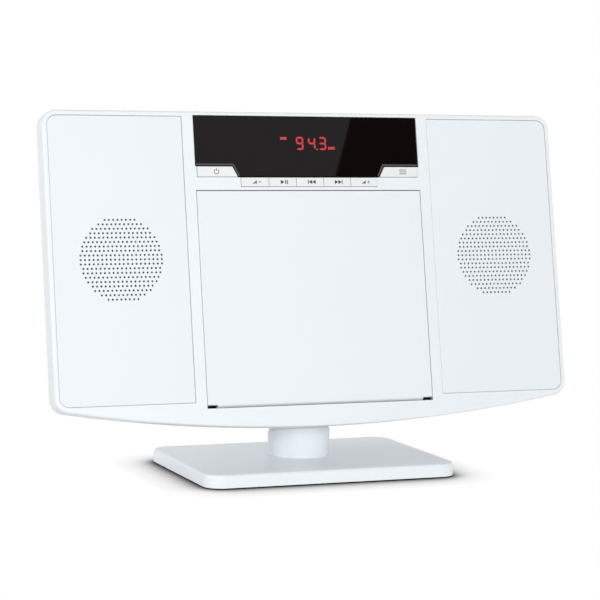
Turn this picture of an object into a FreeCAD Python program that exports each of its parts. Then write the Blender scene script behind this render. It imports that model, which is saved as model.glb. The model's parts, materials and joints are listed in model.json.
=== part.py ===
import FreeCAD, Part
from FreeCAD import Vector
import math
import os

# Radio CD player on a stand: a white cabinet that leans back on a short round neck and a flat foot.
# Millimetres, +Z up, +X to the user's right, the user in front at -Y. The origin is the centre of
# the foot's underside. Cabinet pieces are drawn upright in a panel frame (x to the right, y into the
# cabinet, z up the front panel, zero at the lowest point of the front) and then leaned back.

# Stand
base_width = 203.8
base_depth = 141.4
base_thickness = 10.0
base_corner = 13.5
base_soft_edge = 2.4
base_skin = 3.2
base_wall = 5.0
foot_radius = 7.0
foot_height = 2.4
foot_exposed = 0.8
foot_pad_radius = 10.0
foot_inset = 16.0
weight_thickness = 3.6
weight_gap = 1.0
neck_width = 48.4
neck_depth = 48.4
neck_height = 19.1
neck_wall = 3.0
neck_boss_radius = 4.0
neck_screw_inset = 8.5
neck_offset = 7.2
neck_setback = 52.5
neck_shadow_gap = 1.0
lean_angle = 11.3
tang_width = 26.0
tang_thickness = 11.0
tang_height = 26.0
tang_wall = 2.4
tang_screw_drop = 10.4

# Front of the cabinet, from its foot up and from its centre out
sill_height = 17.1
door_width = 185.1
door_height = 163.6
door_skin = 2.4
door_side_gap = 0.35
door_top_gap = 0.6
door_sill_gap = 0.7
door_rib = 2.0
door_rib_inset = 4.0
bezel_bar = 3.3
key_width = 22.3
key_height = 6.9
key_gap = 0.3
key_proud = 0.8
key_travel = 0.8
row_keys = ("volume_down_key", "play_key", "previous_key", "next_key", "volume_up_key")
window_height = 47.3
window_bevel = 0.7
wing_rise = 8.4
step_foot = 58.5
step_run = 4.4
corner_key_margin = 1.3
top_margin = 3.1
column_width = 9.25
panel_width = 104.7
panel_thickness = 2.2
panel_groove = 0.15
panel_corner = 0.5
panel_foot = 2.6
panel_head = 4.0
rim_width = 3.5
bottom_sag = 18.5
cabinet_corner = 11.0
soft_edge = 2.0
fine_edge = 0.8

# Depths and walls of the cabinet
front_wall = 4.2
side_wall = 2.4
front_depth = 16.0
cabinet_depth = 77.5
rear_step = 1.0
rear_side_taper = 33.0
rear_top_taper = 30.0
rear_bottom_taper = 4.0
rear_corner = 18.0
rear_wall = 2.4
rear_soft_edge = 4.0
lip_depth = 3.0
lip_wall = 1.6
lip_gap = 0.2

# Loudspeakers
grille_pitch = 3.3
grille_hole = 0.8
grille_rows = (8, 11, 14, 15, 17, 18, 19, 19, 20, 20, 20, 19, 19, 18, 17, 15, 14, 11, 8)
driver_mouth = 33.0
driver_flange = 39.5
driver_screw_circle = 36.4
baffle_rise = 4.0
gasket_thickness = 1.0
flange_thickness = 1.2
basket_depth = 19.0
basket_back = 22.0
basket_wall = 1.0
coil_radius = 10.0
cone_wall = 0.7
cone_depth = 11.4
cap_rise = 4.0
cap_shoulder = 6.0
magnet_radius = 21.0
magnet_length = 11.0
driver_window = 13.0

# Disc compartment
well_wall = 1.5
well_side_room = 1.0
well_sill_room = 1.2
well_head_room = 0.6
well_depth = 12.8
floor_thickness = 2.0
lug_length = 8.5
lug_width = 9.0
lug_thickness = 2.0
lug_rise = 5.8
lug_inset = 14.0
hinge_pin_radius = 1.2
hinge_pin_grip = 10.0
hinge_pin_reach = 4.6
notch_width = 8.0
notch_height = 1.9
striker_width = 18.0
striker_height = 9.0
striker_thickness = 1.0
latch_width = 16.0
latch_height = 11.0
latch_length = 9.5
latch_drop = 2.5
plunger_side = 5.0
plunger_length = 8.3
plunger_travel = 1.5

# Disc drive
seat_rise = 4.5
seat_radius = 15.0
seat_thickness = 2.0
nose_radius = 7.4
nose_height = 3.6
nose_bevel = 1.0
hub_ball_radius = 0.5
hub_ball_proud = 0.05
hub_ball_count = 3
collar_radius = 4.5
collar_length = 6.5
spindle_radius = 1.0
hub_well_radius = 16.5
spindle_motor_radius = 12.0
spindle_motor_length = 11.0
spindle_motor_cap = 2.4
spindle_end_room = 2.4
damper_radius = 4.5
damper_height = 2.5
drive_boss_height = 3.0
drive_boss_radius = 4.0
chassis_thickness = 2.0
chassis_left = 40.0
chassis_right = 86.0
chassis_below = 46.0
chassis_above = 34.0
chassis_corner = 4.0
damper_inset = 6.0
lens_start = 25.0
lens_travel = 33.0
lens_radius = 2.2
lens_height = 1.1
turret_width = 20.0
turret_height = 22.0
turret_room = 3.0
sled_width = 22.0
sled_thickness = 7.0
rod_radius = 1.5
rod_spread = 17.0
rod_depth = 4.0
rod_bracket = 3.0
bearing_half = 3.0
disc_gap = 1.7

# Gear train of the pickup sled
gear_module = 0.5
pressure_angle = 25.0
tooth_thinning = 0.06
pinion_teeth = 10
idler_teeth = 36
rack_gear_teeth = 12
addendum_factor = 0.75
dedendum_factor = 1.0
rack_gear_width = 2.8
wheel_width = 2.4
wheel_step = 0.4
rack_drop = 27.0
rack_body = 3.0
rack_overrun = 3.0
idler_place = 40.0
idler_pin_radius = 1.0
bridge_thickness = 1.5
bridge_wall = 3.0
sled_motor_radius = 7.5
sled_motor_length = 10.0
pinion_shaft_radius = 0.75

# Boards
key_flange = 1.2
key_flange_lap = 0.8
key_play = 0.3
key_stem_radius = 1.5
key_stem_length = 0.6
switch_gap = 0.1
switch_plunger = 0.8
switch_plunger_radius = 1.4
switch_body = 3.0
switch_side = 4.5
board_thickness = 1.6
key_board_margin = 4.5
key_board_foot = 0.8
key_board_head = 11.0
key_board_screw_inset = 13.5
display_width = 72.0
display_height = 20.0
display_place = 3.0
display_rise = 26.4
display_room = 0.5
main_board_width = 96.0
main_board_height = 65.0
main_board_gap = 3.0
main_board_foot = 32.0
main_board_room = 14.0
board_post_radius = 3.5
board_post_inset = 5.0
heatsink_width = 42.0
heatsink_height = 18.0
heatsink_length = 9.0
heatsink_foot = 2.5
heatsink_fins = 7
fin_thickness = 1.5
capacitor_radius = 5.0
capacitor_length = 11.0
capacitor_pitch = 12.0
capacitor_inset = 15.0
inlet_radius = 5.0
inlet_bore = 3.2
inlet_pin = 1.0
inlet_bore_depth = 13.0
aux_radius = 3.0
aux_bore = 1.8
aux_bore_depth = 14.0
socket_body = 11.0
socket_pitch = 24.0
socket_foot = 18.0

# Screws
screw_radius = 1.5
screw_head_radius = 3.0
screw_head_height = 2.0
screw_grip = 7.0
small_screw_radius = 1.2
small_head_radius = 2.3
small_head_height = 1.5
small_screw_grip = 4.5
boss_radius = 3.6
boss_rise = 2.0
screw_well_wall = 2.0
screw_well_radius = 4.2
rear_screw_inset = 10.5
rear_screw_spread = 67.0
top_screw_place = 62.0
top_screw_drop = 8.5
low_screw_place = 128.0
low_screw_rise = 14.0
drive_recess = 1.0
drive_slot = 0.9
drive_share = 0.6
base_screw_radius = 2.0
base_screw_grip = 9.0
base_head_height = 2.2
base_head_radius = 3.6

# Rear face
keyhole_spread = 160.0
keyhole_rise = 178.0
keyhole_entry = 4.5
keyhole_slot = 2.25
keyhole_drop = 9.0
vent_count = 15
vent_pitch = 6.0
vent_width = 2.4
vent_height = 34.0
vent_foot = 112.0
label_width = 70.0
label_height = 40.0
label_place = -70.0
label_foot = 50.0
label_depth = 0.5

# Clearances
running_gap = 0.05
slide_gap = 0.15
seat_gap = 0.15
stand_gap = 0.2
touching = 1e-6

# Levels up the front panel
door_half = door_width / 2
door_bottom = sill_height
door_top = door_bottom + door_height
row_bottom = door_top + bezel_bar
row_top = row_bottom + key_height
window_bottom = row_top + key_gap
wing_bottom = window_bottom + wing_rise
window_top = window_bottom + window_height
cabinet_height = window_top + top_margin
panel_inner = door_half + column_width
panel_outer = panel_inner + panel_width
cabinet_half = panel_outer + rim_width
panel_bottom = bottom_sag + panel_foot
panel_top = cabinet_height - panel_head
bottom_radius = (cabinet_half ** 2 + bottom_sag ** 2) / (2 * bottom_sag)
speaker_x = panel_inner + panel_width / 2
speaker_z = (panel_bottom + panel_top) / 2
hub_z = door_bottom + door_height / 2

# Depths behind the front panel
rim_round = min(soft_edge, rim_width / 2, top_margin / 2)
key_flange_y = front_wall + key_play
key_stem_end = key_flange_y + key_flange + key_stem_length
switch_face = key_stem_end + key_travel + switch_gap
key_board_y = switch_face + switch_plunger + switch_body
floor_y = front_wall + well_depth
floor_back = floor_y + floor_thickness
seat_y = floor_y - seat_rise
nose_y = seat_y - nose_height
chassis_y = floor_back + drive_boss_height + damper_height
chassis_back = chassis_y + chassis_thickness
rod_y = chassis_back + rod_depth
sled_y = chassis_back + slide_gap * 2
sled_back = sled_y + sled_thickness
baffle_y = front_wall + baffle_rise
driver_y = baffle_y + gasket_thickness
rear_inside = cabinet_depth - rear_wall
board_back = rear_inside - main_board_room
board_front = board_back - board_thickness
well_half = door_half + well_side_room
well_bottom = door_bottom - well_sill_room
well_top = door_top - well_head_room
lug_y = front_wall + lug_rise
hinge_y = door_skin
hinge_z = door_bottom + door_skin
tang_back = cabinet_depth - rear_wall - tang_wall - stand_gap
tang_front = tang_back - tang_thickness
tang_screw_z = tang_height - tang_screw_drop

# Places of the stand and of the leaned cabinet
base_top = foot_exposed + base_thickness
base_ceiling = base_top - base_skin
lean = math.radians(lean_angle)
cabinet_y = neck_offset - neck_setback * math.cos(lean)
cabinet_z = base_top + neck_height + neck_setback * math.sin(lean)

# Gear sizes
pinion_pitch = gear_module * pinion_teeth / 2
idler_pitch = gear_module * idler_teeth / 2
rack_gear_pitch = gear_module * rack_gear_teeth / 2
tooth_pitch = math.pi * gear_module
addendum = addendum_factor * gear_module
dedendum = dedendum_factor * gear_module
rack_z = hub_z - rack_drop
idler_z = rack_z - rack_gear_pitch
pinion_x = idler_place - idler_pitch - pinion_pitch
board_left = pinion_x + sled_motor_radius + main_board_gap
board_middle = board_left + main_board_width / 2
rack_gear_y = sled_y
wheel_y = rack_gear_y + rack_gear_width + wheel_step
bridge_y = wheel_y + wheel_width + 2 * wheel_step


def box(x0, x1, y0, y1, z0, z1):
    return Part.makeBox(x1 - x0, y1 - y0, z1 - z0, Vector(x0, y0, z0))


def pin(x, z, radius, y0, y1):
    """A round bar that runs into the cabinet."""
    return Part.makeCylinder(radius, y1 - y0, Vector(x, y0, z), Vector(0, 1, 0))


def cross_pin(y, z, radius, x0, x1):
    """A round bar that runs across the cabinet."""
    return Part.makeCylinder(radius, x1 - x0, Vector(x0, y, z), Vector(1, 0, 0))


def post(x, y, radius, z0, z1):
    """An upright round bar."""
    return Part.makeCylinder(radius, z1 - z0, Vector(x, y, z0))


def tube(x, z, outer, inner, y0, y1):
    return pin(x, z, outer, y0, y1).cut(pin(x, z, inner, y0, y1))


def rounded_wire(corners, radii):
    """A closed outline through the corners, each rounded by its own radius."""
    arrive, leave, middle = [], [], []
    for index, corner in enumerate(corners):
        back = (corners[index - 1] - corner).normalize()
        ahead = (corners[(index + 1) % len(corners)] - corner).normalize()
        half = back.getAngle(ahead) / 2
        inward = (back + ahead).normalize()
        radius = radii[index]
        run = radius / math.tan(half)
        arrive.append(corner + back * run)
        leave.append(corner + ahead * run)
        middle.append(corner + inward * (radius / math.sin(half) - radius))
    edges = []
    for index in range(len(corners)):
        if radii[index] > 0:
            edges.append(Part.Arc(arrive[index], middle[index], leave[index]).toShape())
        following = (index + 1) % len(corners)
        if leave[index].distanceToPoint(arrive[following]) > touching:
            edges.append(Part.makeLine(leave[index], arrive[following]))
    return Part.Wire(edges)


def plate(points, radii, y0, y1):
    """A flat piece with an outline in the front panel's plane."""
    corners = [Vector(x, y0, z) for x, z in points]
    return Part.Face(rounded_wire(corners, radii)).extrude(Vector(0, y1 - y0, 0))


def upright_block(half_x, half_y, y, radius, z0, z1):
    """A block on the centre line with its four upright edges rounded."""
    turns = ((-1, -1), (1, -1), (1, 1), (-1, 1))
    corners = [Vector(a * half_x, y + b * half_y, z0) for a, b in turns]
    return Part.Face(rounded_wire(corners, [radius] * 4)).extrude(Vector(0, 0, z1 - z0))


def round_plate(x0, x1, z0, z1, radius, y0, y1):
    points = [(x0, z0), (x1, z0), (x1, z1), (x0, z1)]
    return plate(points, [radius] * 4, y0, y1)


def turned(profile, x, z):
    """A solid of revolution about an axis into the cabinet, from points of radius and depth."""
    points = [Vector(x + radius, depth, z) for radius, depth in profile]
    face = Part.Face(Part.makePolygon(points + points[:1]))
    return face.revolve(Vector(x, 0, z), Vector(0, 1, 0), 360)


def joined(shapes):
    return shapes[0].multiFuse(shapes[1:]).removeSplitter()


def mirrored(shape):
    return shape.mirror(Vector(0, 0, 0), Vector(1, 0, 0))


def leaned(shape):
    """Carry a shape from the panel frame to its place on the stand."""
    result = shape.copy()
    result.rotate(Vector(0, 0, 0), Vector(1, 0, 0), -lean_angle)
    result.translate(Vector(0, cabinet_y, cabinet_z))
    return result


def edges_at_front(shape, depth):
    """The edges that lie wholly at one depth."""
    chosen = []
    for edge in shape.Edges:
        bounds = edge.BoundBox
        if abs(bounds.YMin - depth) < touching and abs(bounds.YMax - depth) < touching:
            chosen.append(edge)
    return chosen


def screw(x, z, seat, tip, radius, head_radius, head_height):
    """A pan-head screw driven forwards from the back, with a cross slot in its head."""
    body = pin(x, z, head_radius, seat, seat + head_height).fuse(pin(x, z, radius, tip, seat))
    top = seat + head_height
    arm = head_radius * drive_share
    half = drive_slot / 2
    flat = box(x - arm, x + arm, top - drive_recess, top, z - half, z + half)
    upright = box(x - half, x + half, top - drive_recess, top, z - arm, z + arm)
    return body.cut(flat.fuse(upright)).removeSplitter()


def cabinet_outline(y, side, top, bottom, corner):
    """The cabinet's outline at one depth, drawn in from the sides, the top and the bowed bottom."""
    half = cabinet_half - side
    head = cabinet_height - top
    bow = bottom_radius - bottom
    inner_x = half - corner
    low_z = bottom_radius - math.sqrt((bow - corner) ** 2 - inner_x ** 2)
    foot_x = inner_x * bow / (bow - corner)
    foot_z = bottom_radius + (low_z - bottom_radius) * bow / (bow - corner)
    head_z = head - corner
    slant = corner * math.sqrt(0.5)
    turn = (math.atan2(foot_z - low_z, foot_x - inner_x)) / 2
    low_mid = (inner_x + corner * math.cos(turn), low_z + corner * math.sin(turn))
    head_mid = (inner_x + slant, head_z + slant)

    def arc(first, middle, last):
        points = [Vector(x, y, z) for x, z in (first, middle, last)]
        return Part.Arc(*points).toShape()

    def line(first, last):
        return Part.makeLine(Vector(first[0], y, first[1]), Vector(last[0], y, last[1]))

    edges = [
        arc((-foot_x, foot_z), (0, bottom), (foot_x, foot_z)),
        arc((foot_x, foot_z), low_mid, (half, low_z)),
        line((half, low_z), (half, head_z)),
        arc((half, head_z), head_mid, (inner_x, head)),
        line((inner_x, head), (-inner_x, head)),
        arc((-inner_x, head), (-head_mid[0], head_mid[1]), (-half, head_z)),
        line((-half, head_z), (-half, low_z)),
        arc((-half, low_z), (-low_mid[0], low_mid[1]), (-foot_x, foot_z)),
    ]
    return Part.Wire(edges)


def cabinet_slab(inset, y0, y1):
    """The cabinet's full outline as a slab, drawn in evenly."""
    wire = cabinet_outline(y0, inset, inset, inset, cabinet_corner - inset)
    return Part.Face(wire).extrude(Vector(0, y1 - y0, 0))


def rear_form(inset):
    """The tapered solid behind the front cabinet, drawn in evenly."""
    start = rear_step + inset
    front = cabinet_outline(front_depth, start, start, start, cabinet_corner - start)
    back = cabinet_outline(
        cabinet_depth - inset,
        start + rear_side_taper,
        start + rear_top_taper,
        start + rear_bottom_taper,
        rear_corner - inset,
    )
    return Part.makeLoft([front, back], True, True)


def panel_form(grow, y0, y1):
    """The outline of the right speaker panel, or of its recess when grown."""
    outer_corner = cabinet_corner - rim_width - panel_groove + grow
    inner_corner = panel_corner + grow
    points = [
        (panel_inner - grow, panel_bottom - grow),
        (panel_outer + grow, panel_bottom - grow),
        (panel_outer + grow, panel_top + grow),
        (panel_inner - grow, panel_top + grow),
    ]
    return plate(points, [inner_corner, outer_corner, outer_corner, inner_corner], y0, y1)


def window_form(grow, y0, y1):
    """The display window's stepped outline, or its recess when grown."""
    slope = math.atan2(wing_rise, step_run)
    shift = grow * math.tan(slope / 2)
    foot = step_foot + shift
    wing = step_foot + step_run + shift
    right = [
        (foot, window_bottom - grow),
        (wing, wing_bottom - grow),
        (door_half + grow, wing_bottom - grow),
        (door_half + grow, window_top + grow),
    ]
    left = [(-x, z) for x, z in reversed(right)]
    return plate(right + left, [0] * 8, y0, y1)


def corner_key_points(grow):
    """The right-hand corner key under the window's wing, or its hole when grown."""
    slope = math.atan2(wing_rise, step_run)
    gap = (key_gap - grow) / math.sin(slope)
    low = window_bottom + key_gap - grow
    high = wing_bottom - key_gap + grow
    low_x = step_foot + gap + (low - window_bottom) / math.tan(slope)
    high_x = step_foot + gap + (high - window_bottom) / math.tan(slope)
    outer = door_half - corner_key_margin + grow
    return [(low_x, low), (outer, low), (outer, high), (high_x, high)]


def row_key_edges(index):
    """Left and right edges of one key of the row."""
    middle = (index - (len(row_keys) - 1) / 2) * (key_width + key_gap)
    return middle - key_width / 2, middle + key_width / 2


def row_aperture():
    half = row_key_edges(len(row_keys) - 1)[1] + key_gap
    return box(-half, half, -key_proud, front_wall, row_bottom - key_gap, window_bottom)


def key_apertures():
    corner = plate(corner_key_points(key_gap), [0] * 4, -key_proud, front_wall)
    return [row_aperture(), corner, mirrored(corner)]


def display_opening():
    left = display_place - display_width / 2 - display_room
    right = display_place + display_width / 2 + display_room
    middle = window_bottom + display_rise
    half = display_height / 2 + display_room
    return box(left, right, panel_thickness, front_wall, middle - half, middle + half)


def door_opening():
    half = door_half + door_side_gap
    return box(-half, half, -soft_edge, front_wall, door_bottom - door_sill_gap, door_top + door_top_gap)


def hinge_holes():
    start = door_half + door_side_gap
    hole = cross_pin(hinge_y, hinge_z, hinge_pin_radius + running_gap, start, start + hinge_pin_reach)
    return [hole, mirrored(hole)]


def rear_screw_places():
    side = cabinet_half - rear_screw_inset
    top = cabinet_height - top_screw_drop
    low_wall = bottom_radius - math.sqrt(bottom_radius ** 2 - low_screw_place ** 2)
    places = []
    for sign in (-1, 1):
        places.append((sign * side, speaker_z - rear_screw_spread))
        places.append((sign * side, speaker_z + rear_screw_spread))
        places.append((sign * top_screw_place, top))
        places.append((sign * low_screw_place, low_wall + low_screw_rise))
    return places


def lug_places():
    x = well_half + well_wall + lug_length - lug_width / 2
    heights = (door_bottom + lug_inset, door_top - lug_inset)
    return [(sign * x, z) for sign in (-1, 1) for z in heights]


def key_board_screw_places():
    x = door_half - key_board_screw_inset
    low = wing_bottom + 2 * boss_radius
    high = window_top - key_board_head - boss_radius
    return [(sign * x, z) for sign in (-1, 1) for z in (low, high)]


def driver_screw_places(x):
    reach = driver_screw_circle * math.sqrt(0.5)
    return [(x + a * reach, speaker_z + b * reach) for a in (-1, 1) for b in (-1, 1)]


def cabinet_bosses():
    bosses = [pin(x, z, boss_radius, front_wall, front_depth + boss_rise) for x, z in rear_screw_places()]
    bosses += [pin(x, z, boss_radius, front_wall, lug_y) for x, z in lug_places()]
    bosses += [pin(x, z, boss_radius, front_wall, key_board_y) for x, z in key_board_screw_places()]
    for sign in (-1, 1):
        bosses.append(tube(sign * speaker_x, speaker_z, driver_flange, driver_mouth, front_wall, baffle_y))
    return bosses


def cabinet_pilot_holes():
    radius = screw_radius + running_gap
    small = small_screw_radius + running_gap
    end = front_depth + boss_rise
    holes = [pin(x, z, radius, end - screw_grip, end) for x, z in rear_screw_places()]
    holes += [pin(x, z, small, lug_y - small_screw_grip, lug_y) for x, z in lug_places()]
    key_end = key_board_y - small_screw_grip
    holes += [pin(x, z, small, key_end, key_board_y) for x, z in key_board_screw_places()]
    for sign in (-1, 1):
        for x, z in driver_screw_places(sign * speaker_x):
            holes.append(pin(x, z, small, baffle_y - small_screw_grip, baffle_y))
    return holes


def front_cabinet():
    shell = cabinet_slab(0, 0, front_depth)
    shell = shell.makeFillet(rim_round, edges_at_front(shell, 0))
    shell = shell.cut(cabinet_slab(side_wall, front_wall, front_depth))
    recess = panel_form(panel_groove, -soft_edge, panel_thickness)
    mouth = pin(speaker_x, speaker_z, driver_mouth, 0, baffle_y)
    window = window_form(seat_gap, -soft_edge, panel_thickness)
    cuts = [recess, mirrored(recess), mouth, mirrored(mouth), window]
    cuts += [display_opening(), door_opening()] + key_apertures()
    shell = joined([shell] + cabinet_bosses())
    return shell.cut(cuts + hinge_holes() + cabinet_pilot_holes()).removeSplitter()


def grille_holes():
    """Hole centres of the right panel: rows half a pitch apart, with the counts in the list."""
    places = []
    middle_row = (len(grille_rows) - 1) / 2
    for row, count in enumerate(grille_rows):
        z = speaker_z + (middle_row - row) * grille_pitch
        start = speaker_x - (count - 1) * grille_pitch / 2
        places += [(start + column * grille_pitch, z) for column in range(count)]
    return places


def speaker_panel():
    """The right speaker panel with its soft front edge and round grille."""
    body = panel_form(0, 0, panel_thickness)
    body = body.makeFillet(min(fine_edge, panel_thickness / 2), edges_at_front(body, 0))
    holes = [pin(x, z, grille_hole, 0, panel_thickness) for x, z in grille_holes()]
    return body.cut(Part.makeCompound(holes))


def display_window():
    glass = window_form(0, 0, panel_thickness)
    return glass.makeChamfer(window_bevel, edges_at_front(glass, 0))


def turn_about_hinge(radius, x0, x1):
    return cross_pin(hinge_y, hinge_z, radius, x0, x1)


def disc_door():
    """The drop-down door: a skin with a stiffening frame and a round hinge bead along its foot."""
    bead_half = door_half - notch_width
    skin_foot = door_bottom + notch_height
    skin = box(-door_half, door_half, 0, door_skin, skin_foot, door_top)
    upper_edges = [e for e in edges_at_front(skin, 0) if e.BoundBox.ZMax > door_top - touching]
    skin = skin.makeFillet(min(fine_edge, door_skin) / 2, upper_edges)
    bead = turn_about_hinge(door_skin, -bead_half, bead_half)
    rib_half = door_half - door_rib_inset
    rib_low = hinge_z + door_skin + door_rib_inset
    rib_high = latch_z() - striker_height / 2 - door_rib_inset
    frame = box(-rib_half, rib_half, door_skin, door_skin + door_rib, rib_low, rib_high)
    inner = rib_half - door_rib
    hollow = box(-inner, inner, door_skin, door_skin + door_rib, rib_low + door_rib, rib_high - door_rib)
    door = joined([skin, bead, frame.cut(hollow)])
    pin_hole = turn_about_hinge(hinge_pin_radius + running_gap, bead_half - hinge_pin_grip, door_half)
    return door.cut([pin_hole, mirrored(pin_hole)]).removeSplitter()


def door_hinge_pins():
    start = door_half - notch_width - hinge_pin_grip
    end = door_half + door_side_gap + hinge_pin_reach - seat_gap
    right = turn_about_hinge(hinge_pin_radius, start, end)
    return Part.makeCompound([right, mirrored(right)])


def latch_z():
    return well_top - latch_drop - latch_height / 2


def door_striker():
    half = striker_width / 2
    rise = striker_height / 2
    z = latch_z()
    return box(-half, half, door_skin, door_skin + striker_thickness, z - rise, z + rise)


def plunger_face():
    return door_skin + striker_thickness + 2 * seat_gap


def latch_housing():
    z = latch_z()
    half = latch_width / 2
    rise = latch_height / 2
    body = box(-half, half, floor_y - latch_length, floor_y, z - rise, z + rise)
    bore = plunger_side / 2 + slide_gap
    end = plunger_face() + plunger_length + plunger_travel + seat_gap
    return body.cut(box(-bore, bore, floor_y - latch_length, end, z - bore, z + bore))


def latch_plunger():
    z = latch_z()
    half = plunger_side / 2
    face = plunger_face()
    return box(-half, half, face, face + plunger_length, z - half, z + half)


def damper_places():
    xs = (-chassis_left + damper_inset, chassis_right - damper_inset)
    zs = (hub_z - chassis_below + damper_inset, hub_z + chassis_above - damper_inset)
    return [(x, z) for x in xs for z in zs]


def pickup_slot(y0, y1):
    """The slot that the pickup's turret moves along."""
    left = lens_start - turret_width / 2 - turret_room
    right = lens_start + lens_travel + turret_width / 2 + turret_room
    half = turret_height / 2 + turret_room
    return round_plate(left, right, hub_z - half, hub_z + half, turret_room, y0, y1)


def disc_well():
    """The tray behind the door, with the hub's hole, the pickup's slot and four screw lugs."""
    outer_half = well_half + well_wall
    tray = box(-outer_half, outer_half, front_wall, floor_back, well_bottom - well_wall, well_top + well_wall)
    tray = tray.cut(box(-well_half, well_half, front_wall, floor_y, well_bottom, well_top))
    pieces = [tray]
    for x, z in lug_places():
        near = math.copysign(outer_half, x)
        far = math.copysign(outer_half + lug_length, x)
        low, high = z - lug_width / 2, z + lug_width / 2
        pieces.append(box(min(near, far), max(near, far), lug_y, lug_y + lug_thickness, low, high))
    for x, z in damper_places():
        pieces.append(pin(x, z, drive_boss_radius, floor_back, floor_back + drive_boss_height))
    cuts = [pin(0, hub_z, hub_well_radius, floor_y, floor_back), pickup_slot(floor_y, floor_back)]
    pilot = small_screw_radius + running_gap
    end = floor_back + drive_boss_height
    cuts += [pin(x, z, pilot, lug_y, lug_y + lug_thickness) for x, z in lug_places()]
    cuts += [pin(x, z, pilot, end - small_screw_grip, end) for x, z in damper_places()]
    return joined(pieces).cut(cuts).removeSplitter()


def small_screws(places, seat, grip_end):
    return Part.makeCompound([
        screw(x, z, seat, grip_end - small_screw_grip + seat_gap,
              small_screw_radius, small_head_radius, small_head_height)
        for x, z in places
    ])


def well_screws():
    return small_screws(lug_places(), lug_y + lug_thickness, lug_y)


def mech_dampers():
    inner = small_screw_radius + seat_gap
    y1 = floor_back + drive_boss_height
    return Part.makeCompound([tube(x, z, damper_radius, inner, y1, chassis_y) for x, z in damper_places()])


def mech_screws():
    return small_screws(damper_places(), chassis_back, floor_back + drive_boss_height)


def rod_ends():
    """Where the guide rods start and end, outside the sled's travel."""
    left = lens_start - sled_width / 2 - 2 * rod_bracket
    right = lens_start + lens_travel + sled_width / 2 + 2 * rod_bracket
    return left, right


def guide_rods():
    left, right = rod_ends()
    rods = [cross_pin(rod_y, hub_z + sign * rod_spread, rod_radius, left, right) for sign in (-1, 1)]
    return Part.makeCompound(rods)


def rod_brackets():
    left, right = rod_ends()
    brackets = []
    for sign in (-1, 1):
        z = hub_z + sign * rod_spread
        for x0, x1 in ((left, left + rod_bracket), (right - rod_bracket, right)):
            low, high = z - bearing_half, z + bearing_half
            brackets.append(box(x0, x1, chassis_back, rod_y + bearing_half, low, high))
    return brackets


def motor_bridge():
    """The bracket behind the chassis that carries the sled motor and the idler's pin."""
    left = pinion_x - sled_motor_radius - bridge_wall
    right = idler_place + idler_pitch + 2 * bridge_wall
    low = idler_z - idler_pitch - addendum - bridge_wall - 2 * wheel_step
    high = idler_z + sled_motor_radius
    wall = box(left, right, chassis_back, bridge_y, low, low + bridge_wall)
    web = box(left, right, bridge_y, bridge_y + bridge_thickness, low, high)
    idler_pin = pin(idler_place, idler_z, idler_pin_radius, chassis_back, bridge_y)
    return [wall, web, idler_pin]


def mech_chassis():
    left, right = -chassis_left, chassis_right
    low, high = hub_z - chassis_below, hub_z + chassis_above
    deck = round_plate(left, right, low, high, chassis_corner, chassis_y, chassis_back)
    chassis = joined([deck] + rod_brackets() + motor_bridge())
    cuts = [pickup_slot(chassis_y, chassis_back)]
    cuts.append(pin(0, hub_z, collar_radius + 2 * seat_gap, chassis_y, chassis_back))
    shaft_room = pinion_shaft_radius + 2 * seat_gap
    cuts.append(pin(pinion_x, idler_z, shaft_room, bridge_y, bridge_y + bridge_thickness))
    cuts += [pin(x, z, small_screw_radius + seat_gap, chassis_y, chassis_back) for x, z in damper_places()]
    start, end = rod_ends()
    for sign in (-1, 1):
        cuts.append(cross_pin(rod_y, hub_z + sign * rod_spread, rod_radius, start, end))
    return chassis.cut(cuts).removeSplitter()


def spindle_motor():
    y1 = chassis_back + spindle_motor_length
    body = pin(0, hub_z, spindle_motor_radius, chassis_back, y1)
    return body.cut(pin(0, hub_z, spindle_radius + running_gap, chassis_back, y1 - spindle_motor_cap))


def hub_ball_centres():
    sink = (hub_ball_radius - hub_ball_proud) * math.sqrt(0.5)
    reach = nose_radius - nose_bevel / 2 - sink
    y = nose_y + nose_bevel / 2 + sink
    centres = []
    for index in range(hub_ball_count):
        angle = 2 * math.pi * index / hub_ball_count + math.pi / 2
        centres.append(Vector(reach * math.cos(angle), y, hub_z + reach * math.sin(angle)))
    return centres


def turntable_hub():
    """The disc's seat and centring nose on the spindle."""
    shaft_end = chassis_back + spindle_motor_length - spindle_motor_cap - spindle_end_room
    profile = [
        (0, nose_y),
        (nose_radius - nose_bevel, nose_y),
        (nose_radius, nose_y + nose_bevel),
        (nose_radius, seat_y),
        (seat_radius, seat_y),
        (seat_radius, seat_y + seat_thickness),
        (collar_radius, seat_y + seat_thickness),
        (collar_radius, seat_y + seat_thickness + collar_length),
        (spindle_radius, seat_y + seat_thickness + collar_length),
        (spindle_radius, shaft_end),
        (0, shaft_end),
    ]
    hub = turned(profile, 0, hub_z)
    for centre in hub_ball_centres():
        hub = hub.cut(Part.makeSphere(hub_ball_radius, centre, Vector(0, 1, 0)))
    return hub


def hub_balls():
    balls = [Part.makeSphere(hub_ball_radius, centre, Vector(0, 1, 0)) for centre in hub_ball_centres()]
    return Part.makeCompound(balls)


def rack_profile():
    """The sled's rack, teeth down, with a gap between teeth over the idler's axis."""
    left = idler_place - lens_travel - rack_overrun
    count = math.ceil((lens_travel + 2 * rack_overrun) / tooth_pitch)
    lean_out = math.tan(math.radians(pressure_angle))
    half = tooth_pitch / 4 - tooth_thinning / 2
    tip, root = half - addendum * lean_out, half + dedendum * lean_out
    first = idler_place + tooth_pitch * (math.floor((left - idler_place) / tooth_pitch) + 0.5)
    points = []
    for index in range(count):
        x = first + index * tooth_pitch
        points += [(x - root, rack_z + dedendum), (x - tip, rack_z - addendum)]
        points += [(x + tip, rack_z - addendum), (x + root, rack_z + dedendum)]
    back_z = rack_z + dedendum + rack_body
    return points + [(points[-1][0], back_z), (points[0][0], back_z)]


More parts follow.
